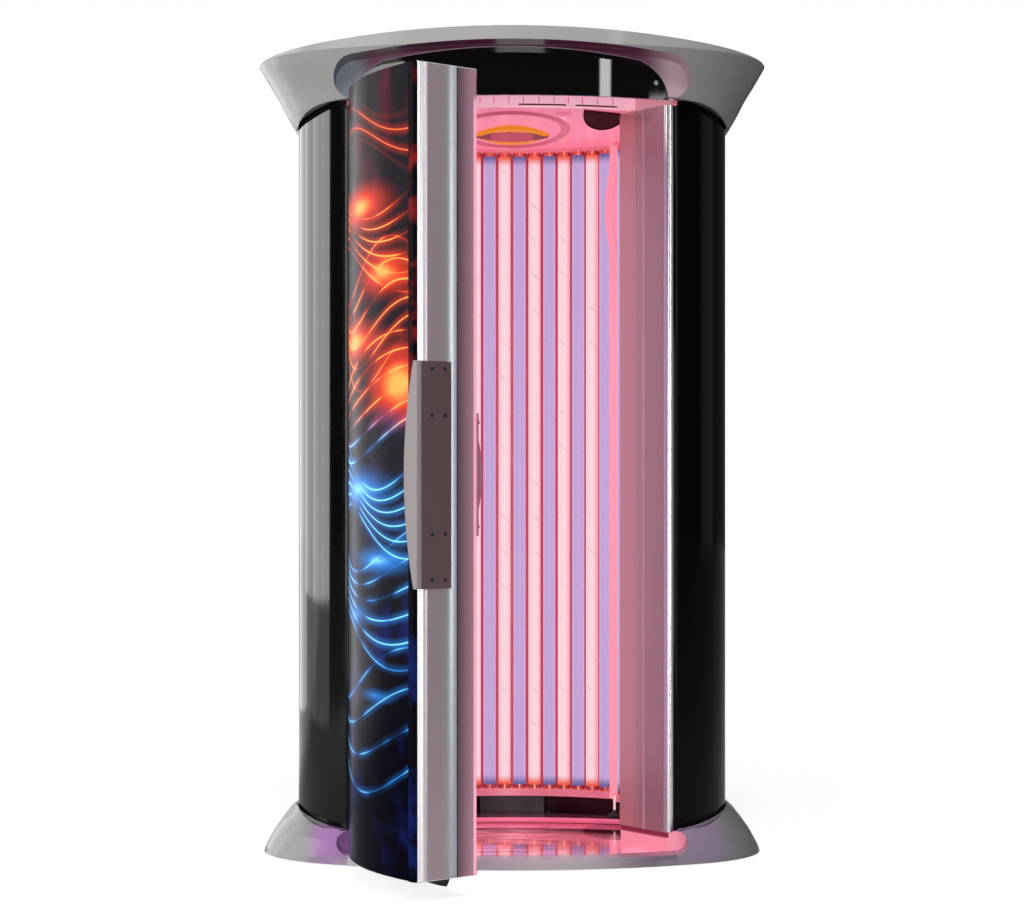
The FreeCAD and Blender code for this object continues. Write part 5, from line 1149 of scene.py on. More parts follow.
# Liners with a painted glow that stands in for the cabin lamps' light.
REFLECTOR = CabinLiner("reflector_sheet", (0.35, 0.05, 0.09), (0.45, 0.06, 0.10), 0.3)
LINER = CabinLiner("pink_liner", (0.72, 0.22, 0.32), (0.80, 0.20, 0.30), 0.45)
COLUMN_LINER = CabinLiner("column_liner", (0.80, 0.34, 0.42), (0.90, 0.34, 0.42), 0.55)
GREY_STEEL = Coated("grey_steel", (0.22, 0.22, 0.23))
DARK_STEEL = Coated("dark_steel", (0.03, 0.03, 0.033))
GRIP_METAL = Coated("grip_metal", (0.32, 0.28, 0.285), roughness=0.35)
SCREW_BLACK = Coated("screw_black", (0.02, 0.02, 0.02), roughness=0.3)
BEAUTY_GLASS = LampGlass("beauty_glass", LampKind.BEAUTY)
TANNING_GLASS = LampGlass("tanning_glass", LampKind.TANNING)
RECESS_BACK = RecessBack("recess_back")
LENS_GLOW = LensGlow("lens_glow")
LEAF_PANEL = LeafPrint(
    "leaf_print",
    bundles=(
        Bundle(1.93, 0.050, 1.1, 0.4, 0.060, 3.0, strength=0.6),
        Bundle(1.68, 0.060, 0.9, 1.9, 0.040, 6.0),
        Bundle(1.46, 0.055, 1.3, 3.0, 0.046, 6.0),
        Bundle(1.25, 0.060, 0.8, 4.4, 0.036, 7.0),
        Bundle(1.00, 0.055, 1.2, 0.9, 0.034, 7.0),
        Bundle(0.76, 0.045, 1.0, 2.2, 0.048, 6.0),
        Bundle(0.44, 0.060, 0.9, 3.6, 0.075, 4.0, strength=0.7),
    ),
    flares=(
        Flare(0.30, 1.74, 0.30, 3.6, 2.2),
        Flare(0.47, 1.56, 0.26, 3.0, 1.8),
        Flare(0.24, 1.40, 0.32, 4.0, 2.2),
        Flare(0.55, 1.28, 0.26, 1.8, 2.4),
        Flare(0.28, 1.02, 0.32, 4.0, 1.8),
        Flare(0.44, 0.84, 0.26, 5.0, 1.6),
        Flare(0.26, 0.70, 0.20, 4.0, 0.9),
        Flare(0.42, 0.50, 0.16, 6.0, 0.9),
    ),
)

NODE_FINISHES: dict[str, Finish] = {
    "crown_shell": CROWN_COAT,
    "base_skirt": BASE_COAT,
    "entrance_sill": SILL_COAT,
    "crown_cover": MATT_BLACK,
    "roof_frame": GREY_STEEL,
    "chassis": KICK_MAROON,
    "levelling_feet": RUBBER,
    "floor_plate": STANDING_PLATE,
    "support_feet": MATT_BLACK,
    "left_side_shell": PIANO_BLACK,
    "right_side_shell": SHADED_PIANO_BLACK,
    "rear_shell": PIANO_BLACK,
    "hinge_post": BLACK_METAL,
    "strike_post": POST_METAL,
    "post_blocks": BLOCK_LIGHT,
    "door_seal": SEAL_GREY,
    "frame_uprights": GREY_STEEL,
    "hinge_brackets": GREY_STEEL,
    "hinge_bushes": BRONZE,
    "crown_light": RECESS_BACK,
    "sign_panel": SIGN_BLACK,
    "sign_screws": SCREW_STEEL,
    "exhaust_duct": ZINC,
    "exhaust_fan_motor": DARK_STEEL,
    "exhaust_fan_rotor": MATT_BLACK,
    "ceiling_panel": CEILING_LINER,
    "fan_grille_ring": LENS_GLOW,
    "cabin_fan_motor": DARK_STEEL,
    "cabin_fan_rotor": MATT_BLACK,
    "mist_nozzle": LINER,
    "speaker_grilles": MAROON_MESH,
    "rear_uv_lamps": TANNING_GLASS,
    "rear_beauty_lamps": BEAUTY_GLASS,
    "side_uv_lamps": TANNING_GLASS,
    "side_beauty_lamps": BEAUTY_GLASS,
    "cabin_lamp_caps": CAP_METAL,
    "lamp_holders": HOLDER_PINK,
    "rear_reflector": REFLECTOR,
    "side_reflectors": REFLECTOR,
    "cabin_columns": COLUMN_LINER,
    "grab_handles": COLUMN_LINER,
    "control_panel": MATT_BLACK,
    "session_button": BUTTON_GREEN,
    "fan_button": BUTTON_GREY,
    "ballasts": GREY_STEEL,
    "electrical_box": DARK_STEEL,
    "cable_inlet": MATT_BLACK,
    "door_skin": LEAF_PANEL,
    "closing_profile": CLOSING_METAL,
    "hinge_profile": ALUMINIUM,
    "door_rails": GREY_PLASTIC,
    "door_reflector": REFLECTOR,
    "door_lamps": TANNING_GLASS,
    "door_lamp_caps": CAP_METAL,
    "handle_plate": PLATE_METAL,
    "handle_screws": SCREW_BLACK,
    "pull_handle": GRIP_METAL,
    "inner_handle": PINK_GRIP,
    "door_guide": MATT_BLACK,
    "hinge_pins": POLISHED,
}


class Workshop:
    """Keeps one material per finish, dresses pieces and builds small ones."""

    def __init__(self) -> None:
        """Starts with nothing made."""
        self._made: dict[Finish, bpy.types.Material] = {}

    def dress(self, piece: bpy.types.Object, finish: Finish) -> None:
        """Gives a piece its finish.

        Args:
            piece: The object.
            finish: One of the finishes above.
        """
        if finish not in self._made:
            self._made[finish] = finish.material()
        piece.data.materials.clear()
        piece.data.materials.append(self._made[finish])

    def loft(self, name: str, rings: Sequence[Sequence[Vector]], finish: Finish, body: str,
             closed: bool = False, crease: float = 40.0) -> bpy.types.Object:
        """Builds a piece by joining rings of points.

        Args:
            name: The piece's name.
            rings: Rings with the same number of points, in order.
            finish: Its finish.
            body: The body that it rides on.
            closed: Whether the last ring joins the first.
            crease: Edges sharper than this many degrees stay sharp.

        Returns:
            The new object.
        """
        shape = bmesh.new()
        rows = [[shape.verts.new(point) for point in ring] for ring in rings]
        pairs = list(zip(rows, rows[1:]))
        if closed:
            pairs.append((rows[-1], rows[0]))
        for first, second in pairs:
            for index in range(len(first)):
                after = (index + 1) % len(first)
                shape.faces.new((first[index], first[after], second[after], second[index]))
        if not closed:
            shape.faces.new(list(reversed(rows[0])))
            shape.faces.new(rows[-1])
        bmesh.ops.recalc_face_normals(shape, faces=shape.faces)
        mesh = bpy.data.meshes.new(name)
        shape.to_mesh(mesh)
        shape.free()
        mesh.shade_smooth()
        mesh.set_sharp_from_angle(angle=math.radians(crease))
        piece = bpy.data.objects.new(name, mesh)
        bpy.context.scene.collection.objects.link(piece)
        self.dress(piece, finish)
        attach(piece, body)
        log.info("built %s", name)
        return piece

    def bar(self, name: str, path: Sequence[Vector], section: Sequence[Span], finish: Finish,
            body: str, up: Callable[[int], Vector], closed: bool = False) -> bpy.types.Object:
        """Sweeps a section along a path.

        Args:
            name: The piece's name.
            path: The path's points.
            section: Points of the section as (sideways, along the up direction).
            finish: Its finish.
            body: The body that it rides on.
            up: Gives the up direction at a point of the path.
            closed: Whether the path is a loop.

        Returns:
            The new object.
        """
        rings = []
        last = len(path) - 1
        for index, point in enumerate(path):
            before = path[index - 1] if index > 0 or closed else point
            after = path[(index + 1) % len(path)] if index < last or closed else point
            ahead = (after - before).normalized()
            high = up(index)
            side = ahead.cross(high).normalized()
            rings.append([point + side * wide + high * tall for wide, tall in section])
        return self.loft(name, rings, finish, body, closed)


class CadNodes:
    """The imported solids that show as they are."""

    def build(self, workshop: Workshop) -> None:
        """Dresses every node that shows.

        Args:
            workshop: Where the finishes are kept.
        """
        for name, node in sorted(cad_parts.items()):
            if not node.hide_render:
                workshop.dress(node, NODE_FINISHES[name])
        log.info("dressed %d nodes", len(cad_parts))


@dataclass
class ClosingTrim:
    """Thin pale edges along the ends of the leaf's closing face: painted highlights on those edges."""

    height: float = 0.0016
    ends: Span = (0.002, 0.200)
    sunk: float = -0.0003
    proud: float = 0.0005

    def build(self, workshop: Workshop) -> None:
        """Builds both edges.

        Args:
            workshop: Where the finishes are kept.
        """
        for name, z, inward in (("leaf_lower_edge", LEAF_LOW_Z, self.height),
                                ("leaf_upper_edge", LEAF_HIGH_Z, -self.height)):
            rings = []
            for along in spread(*self.ends, 12):
                rings.append([closing_point(along, out, height) for out, height in
                              box_section((self.sunk, self.proud), (z, z + inward))])
            workshop.loft(name, rings, EDGE_HIGHLIGHT_LINE, LEAF_BODY)


@dataclass
class SignRim:
    """Fine pale line along the sign's upper edge: a painted highlight on that edge."""

    half: float = 0.430
    side_half: float = 0.408
    side_rise: float = 0.060
    shoulder_half: float = 0.352
    shoulder_rise: float = 0.103
    crest_rise: float = 0.131
    radius: float = 0.969
    thickness: float = 0.0012

    def build(self, workshop: Workshop) -> None:
        """Sweeps the line over the sides and the shallow arch.

        Args:
            workshop: Where the finishes are kept.
        """
        side = self.bow(((-self.half, 0.0), (-self.side_half, self.side_rise),
                         (-self.shoulder_half, self.shoulder_rise)), 10)
        places = list(side)
        rise = self.crest_rise - self.shoulder_rise
        sweep = (self.shoulder_half ** 2 + rise ** 2) / (2.0 * rise)
        for x in spread(-self.shoulder_half, self.shoulder_half, 41)[1:]:
            places.append((x, self.crest_rise - sweep + math.sqrt(sweep ** 2 - x ** 2)))
        places += [(-x, z) for x, z in reversed(side[:-1])]
        path = [front_point(x, CROWN_EDGE_Z + z, self.radius) for x, z in places]
        workshop.bar("sign_rim_line", path, round_section(self.thickness, 6), RIM_HIGHLIGHT_LINE, ROOT_BODY,
                     lambda index: (path[index] - FRONT_CENTRE - UP * path[index].z).normalized())

    def bow(self, ends: Sequence[Span], count: int) -> list[Span]:
        """Points of a smooth curve through three places.

        Args:
            ends: The three places.
            count: How many points.

        Returns:
            The points.
        """
        (x0, z0), (x1, z1), (x2, z2) = ends
        bend = (2.0 * x1 - (x0 + x2) / 2.0, 2.0 * z1 - (z0 + z2) / 2.0)
        points = []
        for share in spread(0.0, 1.0, count):
            first, second, third = (1.0 - share) ** 2, 2.0 * share * (1.0 - share), share ** 2
            points.append((first * x0 + second * bend[0] + third * x2,
                           first * z0 + second * bend[1] + third * z2))
        return points


@dataclass
class CeilingRelief:
    """Ceiling details: soft oval of painted shade, ribs with a painted glow, slots, a lip that glows as a
    painted highlight and a painted shade strip on the front upstand, fan veil and nozzle jewel.
    """

    oval_y: float = 0.020
    oval_half_x: float = 0.157
    oval_half_y: float = 0.372
    oval_width: float = 0.030
    oval_drop: float = 0.008
    oval_sunk: float = 0.0005
    oval_steps: int = 96
    wall_radius: float = 0.820
    wall_sunk: float = 0.0005
    rib_places: tuple[float, ...] = (
        -0.0884, -0.0497, -0.0086, 0.0312, 0.0746, 0.1163, 0.156, 0.1953, 0.237, 0.28,
    )
    rib_half: float = 0.0014
    rib_z: Span = (2.0865, 2.1045)
    rib_proud: float = 0.0012
    slots: tuple[Span, ...] = ((0.018, 0.150), (0.176, 0.292))
    slot_z: Span = (2.0812, 2.0852)
    slot_proud: float = 0.0008
    lip_x: Span = (-0.30, 0.33)
    lip_z: Span = (2.0755, 2.0785)
    lip_proud: float = 0.002
    shade_z: Span = (2.0785, 2.0797)
    shade_proud: float = 0.0006
    veil_share: float = 0.98
    veil_z: Span = (2.0664, 2.0669)
    jewel_place: Vector = field(default_factory=lambda: Vector((0.1442, -0.3262, 2.0634)))
    jewel_rings: tuple[Span, ...] = ((0.0062, 0.0), (0.0070, 0.0012), (0.0012, 0.0050))

    def build(self, workshop: Workshop) -> None:
        """Builds every detail.

        Args:
            workshop: Where the finishes are kept.
        """
        self.oval(workshop)
        for number, x in enumerate(self.rib_places, 1):
            self.strip(workshop, f"upstand_rib_{number}", (x - self.rib_half, x + self.rib_half),
                       self.rib_z, self.rib_proud, RIB_PINK)
        for number, ends in enumerate(self.slots, 1):
            self.strip(workshop, f"upstand_slot_{number}", ends, self.slot_z, self.slot_proud, SLOT_MAROON)
        self.strip(workshop, "upstand_lip", self.lip_x, self.lip_z, self.lip_proud, LIP_PAINTED_GLOW)
        self.strip(workshop, "upstand_shade", self.lip_x, self.shade_z, self.shade_proud, RIB_PINK)
        self.veil(workshop)
        self.jewel(workshop)

    def strip(self, workshop: Workshop, name: str, ends: Span, heights: Span, proud: float,
              finish: Finish) -> None:
        """Thin strip on the upstand.

        Args:
            workshop: Where the finishes are kept.
            name: The piece's name.
            ends: First and last place across.
            heights: Lower and upper height.
            proud: How far it stands out.
            finish: Its finish.
        """
        rings = []
        for x in spread(*ends, 3 if ends[1] - ends[0] < 0.01 else 24):
            depths = (self.wall_radius - self.wall_sunk, self.wall_radius + proud)
            rings.append([front_point(x, z, radius) for radius, z in box_section(depths, heights)])
        workshop.loft(name, rings, finish, ROOT_BODY)

    def veil(self, workshop: Workshop) -> None:
        """Magenta veil under the fan's bars.

        Args:
            workshop: Where the finishes are kept.
        """
        lens = LENS_GLOW
        low, high = self.veil_z
        rings = []
        for x in spread(-self.veil_share * lens.half, self.veil_share * lens.half, 33):
            reach = (1.0 - (x / lens.half) ** 2) * lens.length
            near, far = lens.middle - reach, lens.middle + reach
            rings.append([Vector((x, y, z)) for y, z in ((near, low), (far, low), (far, high), (near, high))])
        workshop.loft("fan_veil", rings, LENS_GLOW, ROOT_BODY)

    def jewel(self, workshop: Workshop) -> None:
        """Small cut glass in the nozzle's mouth, with a pink painted glow for its glint.

        Args:
            workshop: Where the finishes are kept.
        """
        rings = []
        for radius, drop in self.jewel_rings:
            section = round_section(radius, 6)
            rings.append([self.jewel_place + Vector((wide, tall, -drop)) for wide, tall in section])
        workshop.loft("nozzle_jewel", rings, LIP_PAINTED_GLOW, ROOT_BODY, crease=5.0)

    def oval(self, workshop: Workshop) -> None:
        """Sweeps the oval's section.

        Args:
            workshop: Where the finishes are kept.
        """
        path = []
        for index in range(self.oval_steps):
            turn = 2.0 * math.pi * index / self.oval_steps
            path.append(Vector((self.oval_half_x * math.cos(turn),
                                self.oval_y + self.oval_half_y * math.sin(turn), CEILING_Z)))
        section = [(-self.oval_width / 2, self.oval_sunk)]
        for share in spread(0.0, 1.0, 9):
            depth = self.oval_drop * math.sin(math.pi * share) ** 1.5
            section.append((self.oval_width * (share - 0.5), -depth))
        section.append((self.oval_width / 2, self.oval_sunk))
        workshop.bar("ceiling_oval", path, section, OVAL_SHADED_LINER, ROOT_BODY, lambda _: UP, closed=True)


@dataclass(frozen=True)
class Hem:
    """Swept edge of the crown or the base, as seen from the front.

    The edge is listed as places across and heights, and the reaches as heights and distances from the body.
    """

    name: str
    start_x: float
    edge: tuple[Span, ...]
    reaches: tuple[Span, ...]
    rise: float
    finish: Finish


# The crown's lip is in the darker copy of the gel coat, as painted shade.
CROWN_HEM = Hem(
    "crown_lip", 0.446,
    ((0.444, 2.088), (0.500, 2.083), (0.532, 2.0765), (0.563, 2.0662), (0.586, 2.053), (0.6034, 2.036)),
    ((2.036, 0.0044), (2.050, 0.017), (2.067, 0.029), (2.110, 0.051)),
    0.004, LIP_SHADED_COAT,
)
BASE_HEM = Hem(
    "base_lip", 0.454,
    ((0.452, 0.088), (0.500, 0.093), (0.532, 0.0985), (0.563, 0.1073), (0.586, 0.119), (0.6034, 0.134)),
    ((0.083, 0.052), (0.096, 0.042), (0.118, 0.018), (0.134, 0.0044)),
    -0.003, BASE_COAT,
)


@dataclass
class HemLips:
    """Lips that lead from the swept edges of crown and base in to the shells."""

    hems: tuple[Hem, ...] = (CROWN_HEM, BASE_HEM)
    inner_gap: float = 0.005
    wall: float = 0.0025
    sheet: float = 0.002
    steps: int = 40
    tries: int = 8

    def build(self, workshop: Workshop) -> None:
        """Builds each lip on both sides.

        Args:
            workshop: Where the finishes are kept.
        """
        for hem in self.hems:
            for side, hand in SIDES:
                workshop.loft(f"{hem.name}_{side}", self.rings(hem, hand), hem.finish, ROOT_BODY)

    def rings(self, hem: Hem, hand: int) -> list[list[Vector]]:
        """Sections of a lip from the entrance to the side.

        Args:
            hem: The edge that it follows.
            hand: 1 for the right side, -1 for the left.

        Returns:
            Four points for each place along the edge.
        """
        rings = []
        first = math.asin(hem.start_x / (FRONT_RADIUS + hem.reaches[-1][1]))
        for turn in spread(first, math.pi / 2, self.steps):
            z = hem.edge[0][1]
            for _ in range(self.tries):
                reach = between(hem.reaches, z)
                z = between(hem.edge, abs(plan_point(turn, reach, z, hand).x))
            grow = max(between(hem.reaches, z) - self.wall, self.inner_gap + self.sheet)
            outer = plan_point(turn, grow, z, hand)
            inner = plan_point(turn, self.inner_gap, z + hem.rise, hand)
            rings.append([outer, inner, inner + UP * self.sheet, outer + UP * self.sheet])
        return rings


@dataclass
class PostTrim:
    """Rounded nose strip of the strike post in a lighter metal that paints its highlight, and gaskets between
    the posts and the shells.
    """

    nose_start: Vector = field(default_factory=lambda: Vector((0.4212, -0.5030, 0.0)))
    nose_stop: Vector = field(default_factory=lambda: Vector((0.4430, -0.4927, 0.0)))
    nose_rise: float = 0.007
    nose_sunk: float = 0.0006
    gasket_stop: Vector = field(default_factory=lambda: Vector((0.4572, -0.4860, 0.0)))
    gasket_rise: float = 0.0024
    gasket_sunk: float = 0.0002
    heights: Span = (0.081, 2.073)

    def build(self, workshop: Workshop) -> None:
        """Builds the nose strip and both gaskets.

        Args:
            workshop: Where the finishes are kept.
        """
        start, stop = self.nose_start, self.nose_stop
        out = (stop - start).cross(UP).normalized()
        section = [stop - out * self.nose_sunk, start - out * self.nose_sunk]
        for share in spread(0.0, 1.0, 15):
            rise = self.nose_rise * math.sin(math.pi * share) ** 0.75
            section.append(start.lerp(stop, share) + out * rise)
        self.stand(workshop, "strike_nose_strip", section, NOSE_HIGHLIGHT_METAL)
        for side, hand in SIDES:
            section = []
            for share in spread(0.0, 1.0, 9):
                point = stop.lerp(self.gasket_stop, share)
                point += out * (self.gasket_rise * math.sin(math.pi * share) - self.gasket_sunk)
                section.append(Vector((hand * point.x, point.y, 0.0)))
            self.stand(workshop, f"post_gasket_{side}", section, SHADED_PIANO_BLACK)

    def stand(self, workshop: Workshop, name: str, section: Sequence[Vector], finish: Finish) -> None:
        """Stands a flat section up over the post's height."""
        rings = [[point + UP * z for point in section] for z in self.heights]
        workshop.loft(name, rings, finish, ROOT_BODY)


@dataclass
class EntranceTray:
    """Ends of the standing plate and of the base's recess, with a painted glow for the cabin's light, and the
    rim behind the plate, which glows the same way.
    """

    low: float = 0.0163
    high: float = 0.0225
    inner_x: float = 0.330
    outer_x: float = 0.473
    back_y: float = -0.30
    front_inset: float = 0.010
    front_slope: float = 0.002
    round_radius: float = 0.050
    round_rise: float = 0.004
    rim_radius: float = 1.04
    rim_y: float = 0.262
    rim_half: float = 0.36
    rim_z: float = 0.0245
    rim_thickness: float = 0.0075
    cup_x: Span = (0.429, 0.512)
    cup_gap: float = 0.0028
    cup_wall: float = 0.0012
    cup_high: float = 0.0835

    def build(self, workshop: Workshop) -> None:
        """Builds a cup and a tray at each end, and the rim.

        Args:
            workshop: Where the finishes are kept.
        """
        # The cups carry painted light: pink on the right, mauve on the left.
        for (side, hand), finish in zip(SIDES, (CUP_PINK, CUP_MAUVE)):
            workshop.loft(f"recess_cup_{side}", self.cup(hand), finish, ROOT_BODY)
        for side, hand in SIDES:
            workshop.loft(f"entrance_tray_{side}", self.tray(hand), TRAY_PINK, ROOT_BODY)
        middle_y = self.rim_y - self.rim_radius
        path = []
        for x in spread(-self.rim_half, self.rim_half, 48):
            path.append(Vector((x, middle_y + math.sqrt(self.rim_radius ** 2 - x * x), self.rim_z)))
        section = round_section(self.rim_thickness, 10)
        workshop.bar("kick_rim", path, section, KICK_PINK, ROOT_BODY, lambda _: UP)

    def cup(self, hand: int) -> list[list[Vector]]:
        """Sections of a cup.

        Args:
            hand: 1 for the right side, -1 for the left.

        Returns:
            Four points for each place across.
        """
        rings = []
        for x in spread(*self.cup_x, 20):
            turn = math.asin(x / (FRONT_RADIUS + self.cup_gap))
            grows = (self.cup_gap, self.cup_gap + self.cup_wall)
            rings.append([plan_point(turn, grow, z, hand) for grow, z in
                          box_section(grows, (self.low, self.cup_high))])
        return rings

    def tray(self, hand: int) -> list[list[Vector]]:
        """Sections of a tray, rounded off at its outer front corner.

        Args:
            hand: 1 for the right side, -1 for the left.

        Returns:
            Four points for each place across.
        """
        rings = []
        for x in spread(self.inner_x, self.outer_x, 16):
            share = max(0.0, (x - (self.outer_x - self.round_radius)) / self.round_radius)
            inset = self.front_inset + self.round_radius * (1.0 - math.sqrt(max(0.0, 1.0 - share * share)))
            front = front_point(x, 0.0).y + inset
            edge = self.high + self.round_rise * share
            rings.append([Vector((hand * x, y, z)) for y, z in (
                (front, self.low), (front - self.front_slope, edge), (self.back_y, self.high),
                (self.back_y, self.low))])
        return rings


@dataclass
class SkinEdge:
    """Thin pale line along the lower edge of the leaf's skin: a painted highlight on that edge."""

    ends: Span = (0.06, 0.60)
    depths: Span = (FRONT_RADIUS - 0.001, FRONT_RADIUS + 0.0006)
    height: float = 0.0018

    def build(self, workshop: Workshop) -> None:
        """Sweeps the line along the skin's arc.

        Args:
            workshop: Where the finishes are kept.
        """
        rings = []
        for along in spread(*self.ends, 30):
            turn = math.pi + along / FRONT_RADIUS
            ray = Vector((math.cos(turn), math.sin(turn), 0.0))
            rings.append([LEAF_CENTRE + ray * radius + UP * z for radius, z in
                          box_section(self.depths, (LEAF_LOW_Z, LEAF_LOW_Z + self.height))])
        workshop.loft("skin_lower_edge", rings, EDGE_HIGHLIGHT_LINE, LEAF_BODY)


@dataclass
class PropFoot:
    """Rod with a pink painted glow and a black foot that props the lamp holders behind the plate, as radii
    and heights.
    """

    place: Vector = field(default_factory=lambda: Vector((0.311, 0.300, 0.0)))
    rod: tuple[Span, ...] = ((0.0035, 0.047), (0.0035, 0.094))
    foot: tuple[Span, ...] = (
        (0.021, 0.0170), (0.022, 0.0320), (0.019, 0.0365), (0.009, 0.0430), (0.006, 0.0500),
    )
    count: int = 20

    def build(self, workshop: Workshop) -> None:
        """Builds the rod and the foot.

        Args:
            workshop: Where the finishes are kept.
        """
        for name, outline, finish in (("prop_rod", self.rod, LIP_PAINTED_GLOW), ("prop_foot", self.foot, RUBBER)):
            rings = []
            for radius, z in outline:
                section = round_section(radius, self.count)
                rings.append([self.place + Vector((wide, tall, z)) for wide, tall in section])
            workshop.loft(name, rings, finish, ROOT_BODY)


@dataclass(frozen=True)
class Softbox:
    """A rectangular soft light. Its radiance is how bright its face looks, where white is 1."""

    name: str
    place: tuple[float, float, float]
    aim: tuple[float, float, float]
    size: Span
    radiance: float
    diffuse: bool = True
    glossy: bool = True

    def hang(self) -> None:
        """Hangs the light, turned to what it aims at."""
        lamp = bpy.data.lights.new(self.name, "AREA")
        lamp.shape = "RECTANGLE"
        lamp.size, lamp.size_y = self.size
        lamp.energy = self.radiance * math.pi * self.size[0] * self.size[1]
        holder = bpy.data.objects.new(self.name, lamp)
        place = Vector(self.place)
        holder.location = place
        holder.visible_diffuse = self.diffuse
        holder.visible_glossy = self.glossy
        holder.rotation_mode = "QUATERNION"
        holder.rotation_quaternion = (Vector(self.aim) - place).to_track_quat("-Z", "Y")
        bpy.context.scene.collection.objects.link(holder)


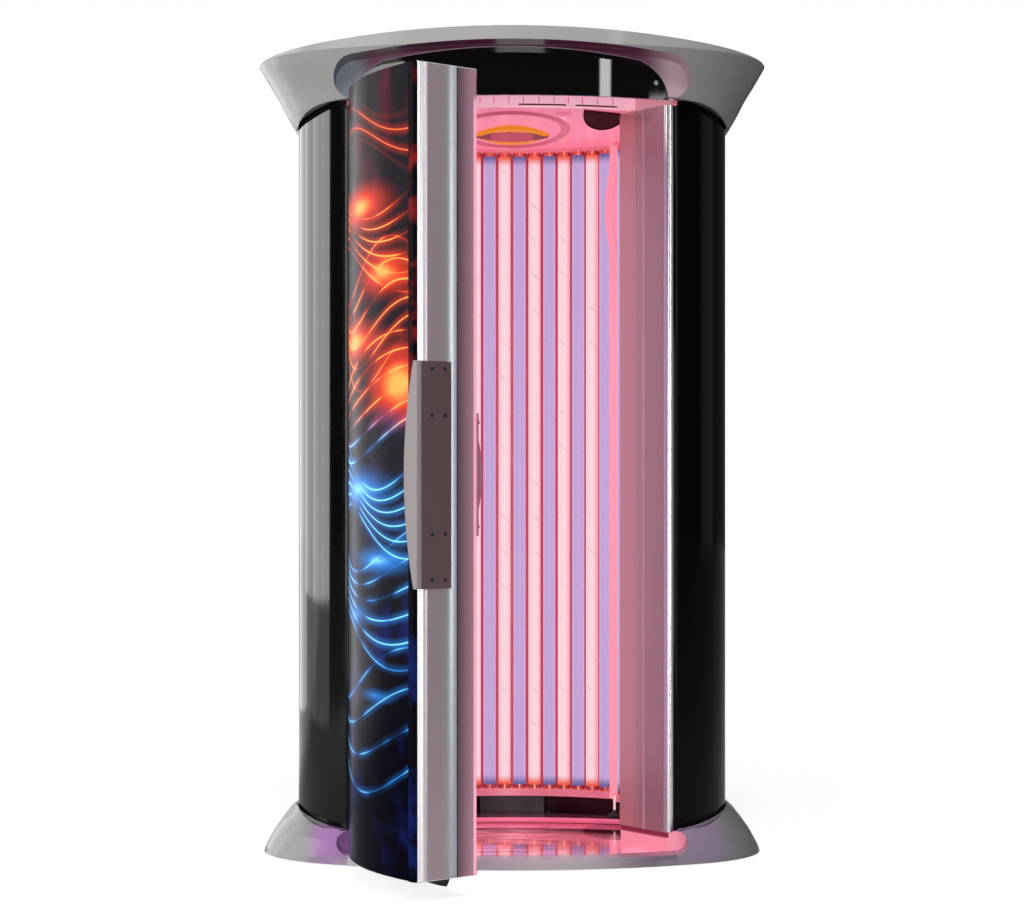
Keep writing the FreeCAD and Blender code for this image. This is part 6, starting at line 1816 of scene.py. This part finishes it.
@dataclass
class Studio:
    """Floor, white surroundings, lights and camera."""

    eye: Vector = field(default_factory=lambda: Vector((0.0, -8.0, 1.005)))
    lens: float = 96.2
    sensor: float = 36.0
    rise: float = 0.0391
    clip_end: float = 200.0
    floor_half: float = 40.0
    floor_paint: float = 0.45
    floor_near_painted_shade: float = 0.82
    floor_far: float = 0.97
    floor_reach: Span = (1.2, 6.0)
    floor_mirrored: float = 0.12
    floor_mirrored_back: float = 0.75
    fill: float = 0.10
    dim: float = 0.07
    overhead: float = 0.6
    right_dim: float = 0.33
    middle: tuple[float, float, float] = (0.0, 0.0, 1.1)
    card_x: float = -4.6
    card_z: float = 2.0
    card_high: float = 2.9
    cards: tuple[tuple[str, float, float, float], ...] = (
        ("left_card_front", -0.62, 1.05, 6.2), ("left_card_middle", 0.55, 1.30, 4.8),
        ("left_card_back", 2.20, 2.00, 2.4),
    )
    foot_z: float = 0.28
    foot_high: float = 0.5
    foot_share: float = 0.15

    def build(self) -> None:
        """Sets up everything that isn't part of the booth."""
        self.world()
        self.floor()
        for box in self.boxes():
            box.hang()
        self.camera()

    def world(self) -> None:
        """White to the camera, softer as a light, and dimmer in reflections from the front and the right."""
        world = bpy.data.worlds.new("surroundings")
        bpy.context.scene.world = world
        g = Graph(world, "ShaderNodeOutputWorld")
        seen, mirrored = g.surroundings()
        x, y, z = g.axes(g.coords("Generated"))
        back_left = g.sum("MULTIPLY", g.span(y, -0.05, 0.35), g.span(x, 0.05, -0.25))
        right = g.sum("MULTIPLY", g.span(x, 0.6, 0.85), g.band(y, 0.22, 0.12, 0.20))
        right = g.sum("MULTIPLY", right, self.right_dim)
        above = g.span(z, 0.5, 0.9, self.dim, self.overhead)
        bright = g.sum("MAXIMUM", g.sum("MAXIMUM", back_left, right), above)
        strength = g.sum("ADD", g.sum("MULTIPLY", mirrored, g.sum("SUBTRACT", bright, self.fill)), self.fill)
        light = g.node("ShaderNodeBackground")
        light.inputs[0].default_value = (1.0, 1.0, 1.0, 1.0)
        g.feed(light.inputs[1], g.sum("MAXIMUM", strength, seen))
        g.tree.links.new(light.outputs[0], g.output.inputs[0])

    def floor(self) -> None:
        """Pale floor that keeps the booth's shadow, and is painted darker near the booth as painted shade."""
        half = self.floor_half
        mesh = bpy.data.meshes.new("studio_floor")
        corners = [(-half, -half, 0.0), (half, -half, 0.0), (half, half, 0.0), (-half, half, 0.0)]
        mesh.from_pydata(corners, [], [(0, 1, 2, 3)])
        floor = bpy.data.objects.new("studio_floor", mesh)
        bpy.context.scene.collection.objects.link(floor)
        paint = bpy.data.materials.new("pale_floor")
        g = Graph(paint, "ShaderNodeOutputMaterial")
        seen, mirrored = g.surroundings()
        matt = g.node("ShaderNodeBsdfDiffuse")
        matt.inputs[0].default_value = (self.floor_paint, self.floor_paint, self.floor_paint, 1.0)
        lift = g.node("ShaderNodeEmission")
        x, y, _ = g.axes(g.place)
        # The lift is lower near the booth: painted shade around it, on top of its real shadow.
        shown = g.span(g.reach(x, y), *self.floor_reach, self.floor_near_painted_shade, self.floor_far)
        shown = g.sum("MULTIPLY", seen, shown)
        behind = g.sum("MULTIPLY", g.span(y, 0.6, 3.0), g.span(x, 0.0, -1.0))
        behind = g.span(behind, 0.0, 1.0, self.floor_mirrored, self.floor_mirrored_back)
        g.feed(lift.inputs["Strength"], g.sum("MAXIMUM", shown, g.sum("MULTIPLY", mirrored, behind)))
        both = g.node("ShaderNodeAddShader")
        g.tree.links.new(matt.outputs[0], both.inputs[0])
        g.tree.links.new(lift.outputs[0], both.inputs[1])
        g.tree.links.new(both.outputs[0], g.output.inputs[0])
        mesh.materials.append(paint)

    def boxes(self) -> list[Softbox]:
        """Key from the left front, cards on the left, boxes in front and above, narrow ones on the right.

        Returns:
            The lights, in the order in which they hang.
        """
        boxes = [
            Softbox("key_box", (-4.4, -4.1, 1.6), self.middle, (2.2, 3.0), 6.2),
            Softbox("left_box", (-5.2, -1.0, 2.3), self.middle, (3.0, 3.0), 1.7, glossy=False),
        ]
        for name, y, wide, radiance in self.cards:
            boxes.append(Softbox(name, (self.card_x, y, self.card_z), (0.0, y, self.card_z),
                                 (wide, self.card_high), radiance, diffuse=False))
            boxes.append(Softbox(f"{name}_foot", (self.card_x, y, self.foot_z), (0.0, y, self.foot_z),
                                 (wide, self.foot_high), radiance * self.foot_share, diffuse=False))
        boxes += [
            Softbox("back_left_card", (-3.3, 3.2, 1.75), (-0.58, -0.4, 1.75), (2.4, 3.4), 1.4, diffuse=False),
            Softbox("low_front_box", (0.4, -8.8, 1.0), self.middle, (2.4, 1.8), 8.0),
            Softbox("high_front_box", (-0.6, -8.5, 6.0), self.middle, (4.0, 2.0), 11.5, glossy=False),
            Softbox("strip_box", (4.3, -3.65, 1.45), (0.43, -0.5, 1.3), (0.55, 2.7), 8.0, diffuse=False),
            Softbox("window_box", (4.5, -7.3, 3.4), (0.0, 0.0, 2.1), (0.55, 1.1), 12.0, diffuse=False),
            Softbox("top_box", (0.2, -1.6, 5.0), (0.1, -0.4, 2.0), (3.0, 2.4), 5.0),
        ]
        return boxes

    def camera(self) -> None:
        """Camera at chest height, level, with a small rise."""
        data = bpy.data.cameras.new("camera")
        data.lens = self.lens
        data.sensor_width = self.sensor
        data.shift_y = self.rise
        data.clip_end = self.clip_end
        holder = bpy.data.objects.new("camera", data)
        holder.location = self.eye
        holder.rotation_euler = (math.radians(90.0), 0.0, 0.0)
        bpy.context.scene.collection.objects.link(holder)
        bpy.context.scene.camera = holder


def main() -> None:
    """Builds and dresses the booth, then the studio around it."""
    logging.basicConfig(level=logging.INFO, format="%(message)s")
    bpy.context.scene.view_settings.view_transform = "Standard"
    workshop = Workshop()
    CadNodes().build(workshop)
    pieces = (ClosingTrim(), SignRim(), CeilingRelief(), HemLips(), PostTrim(), EntranceTray(),
              SkinEdge(), PropFoot())
    for piece in pieces:
        piece.build(workshop)
        log.info("finished %s", type(piece).__name__)
    Studio().build()


if __name__ == "__main__":
    main()
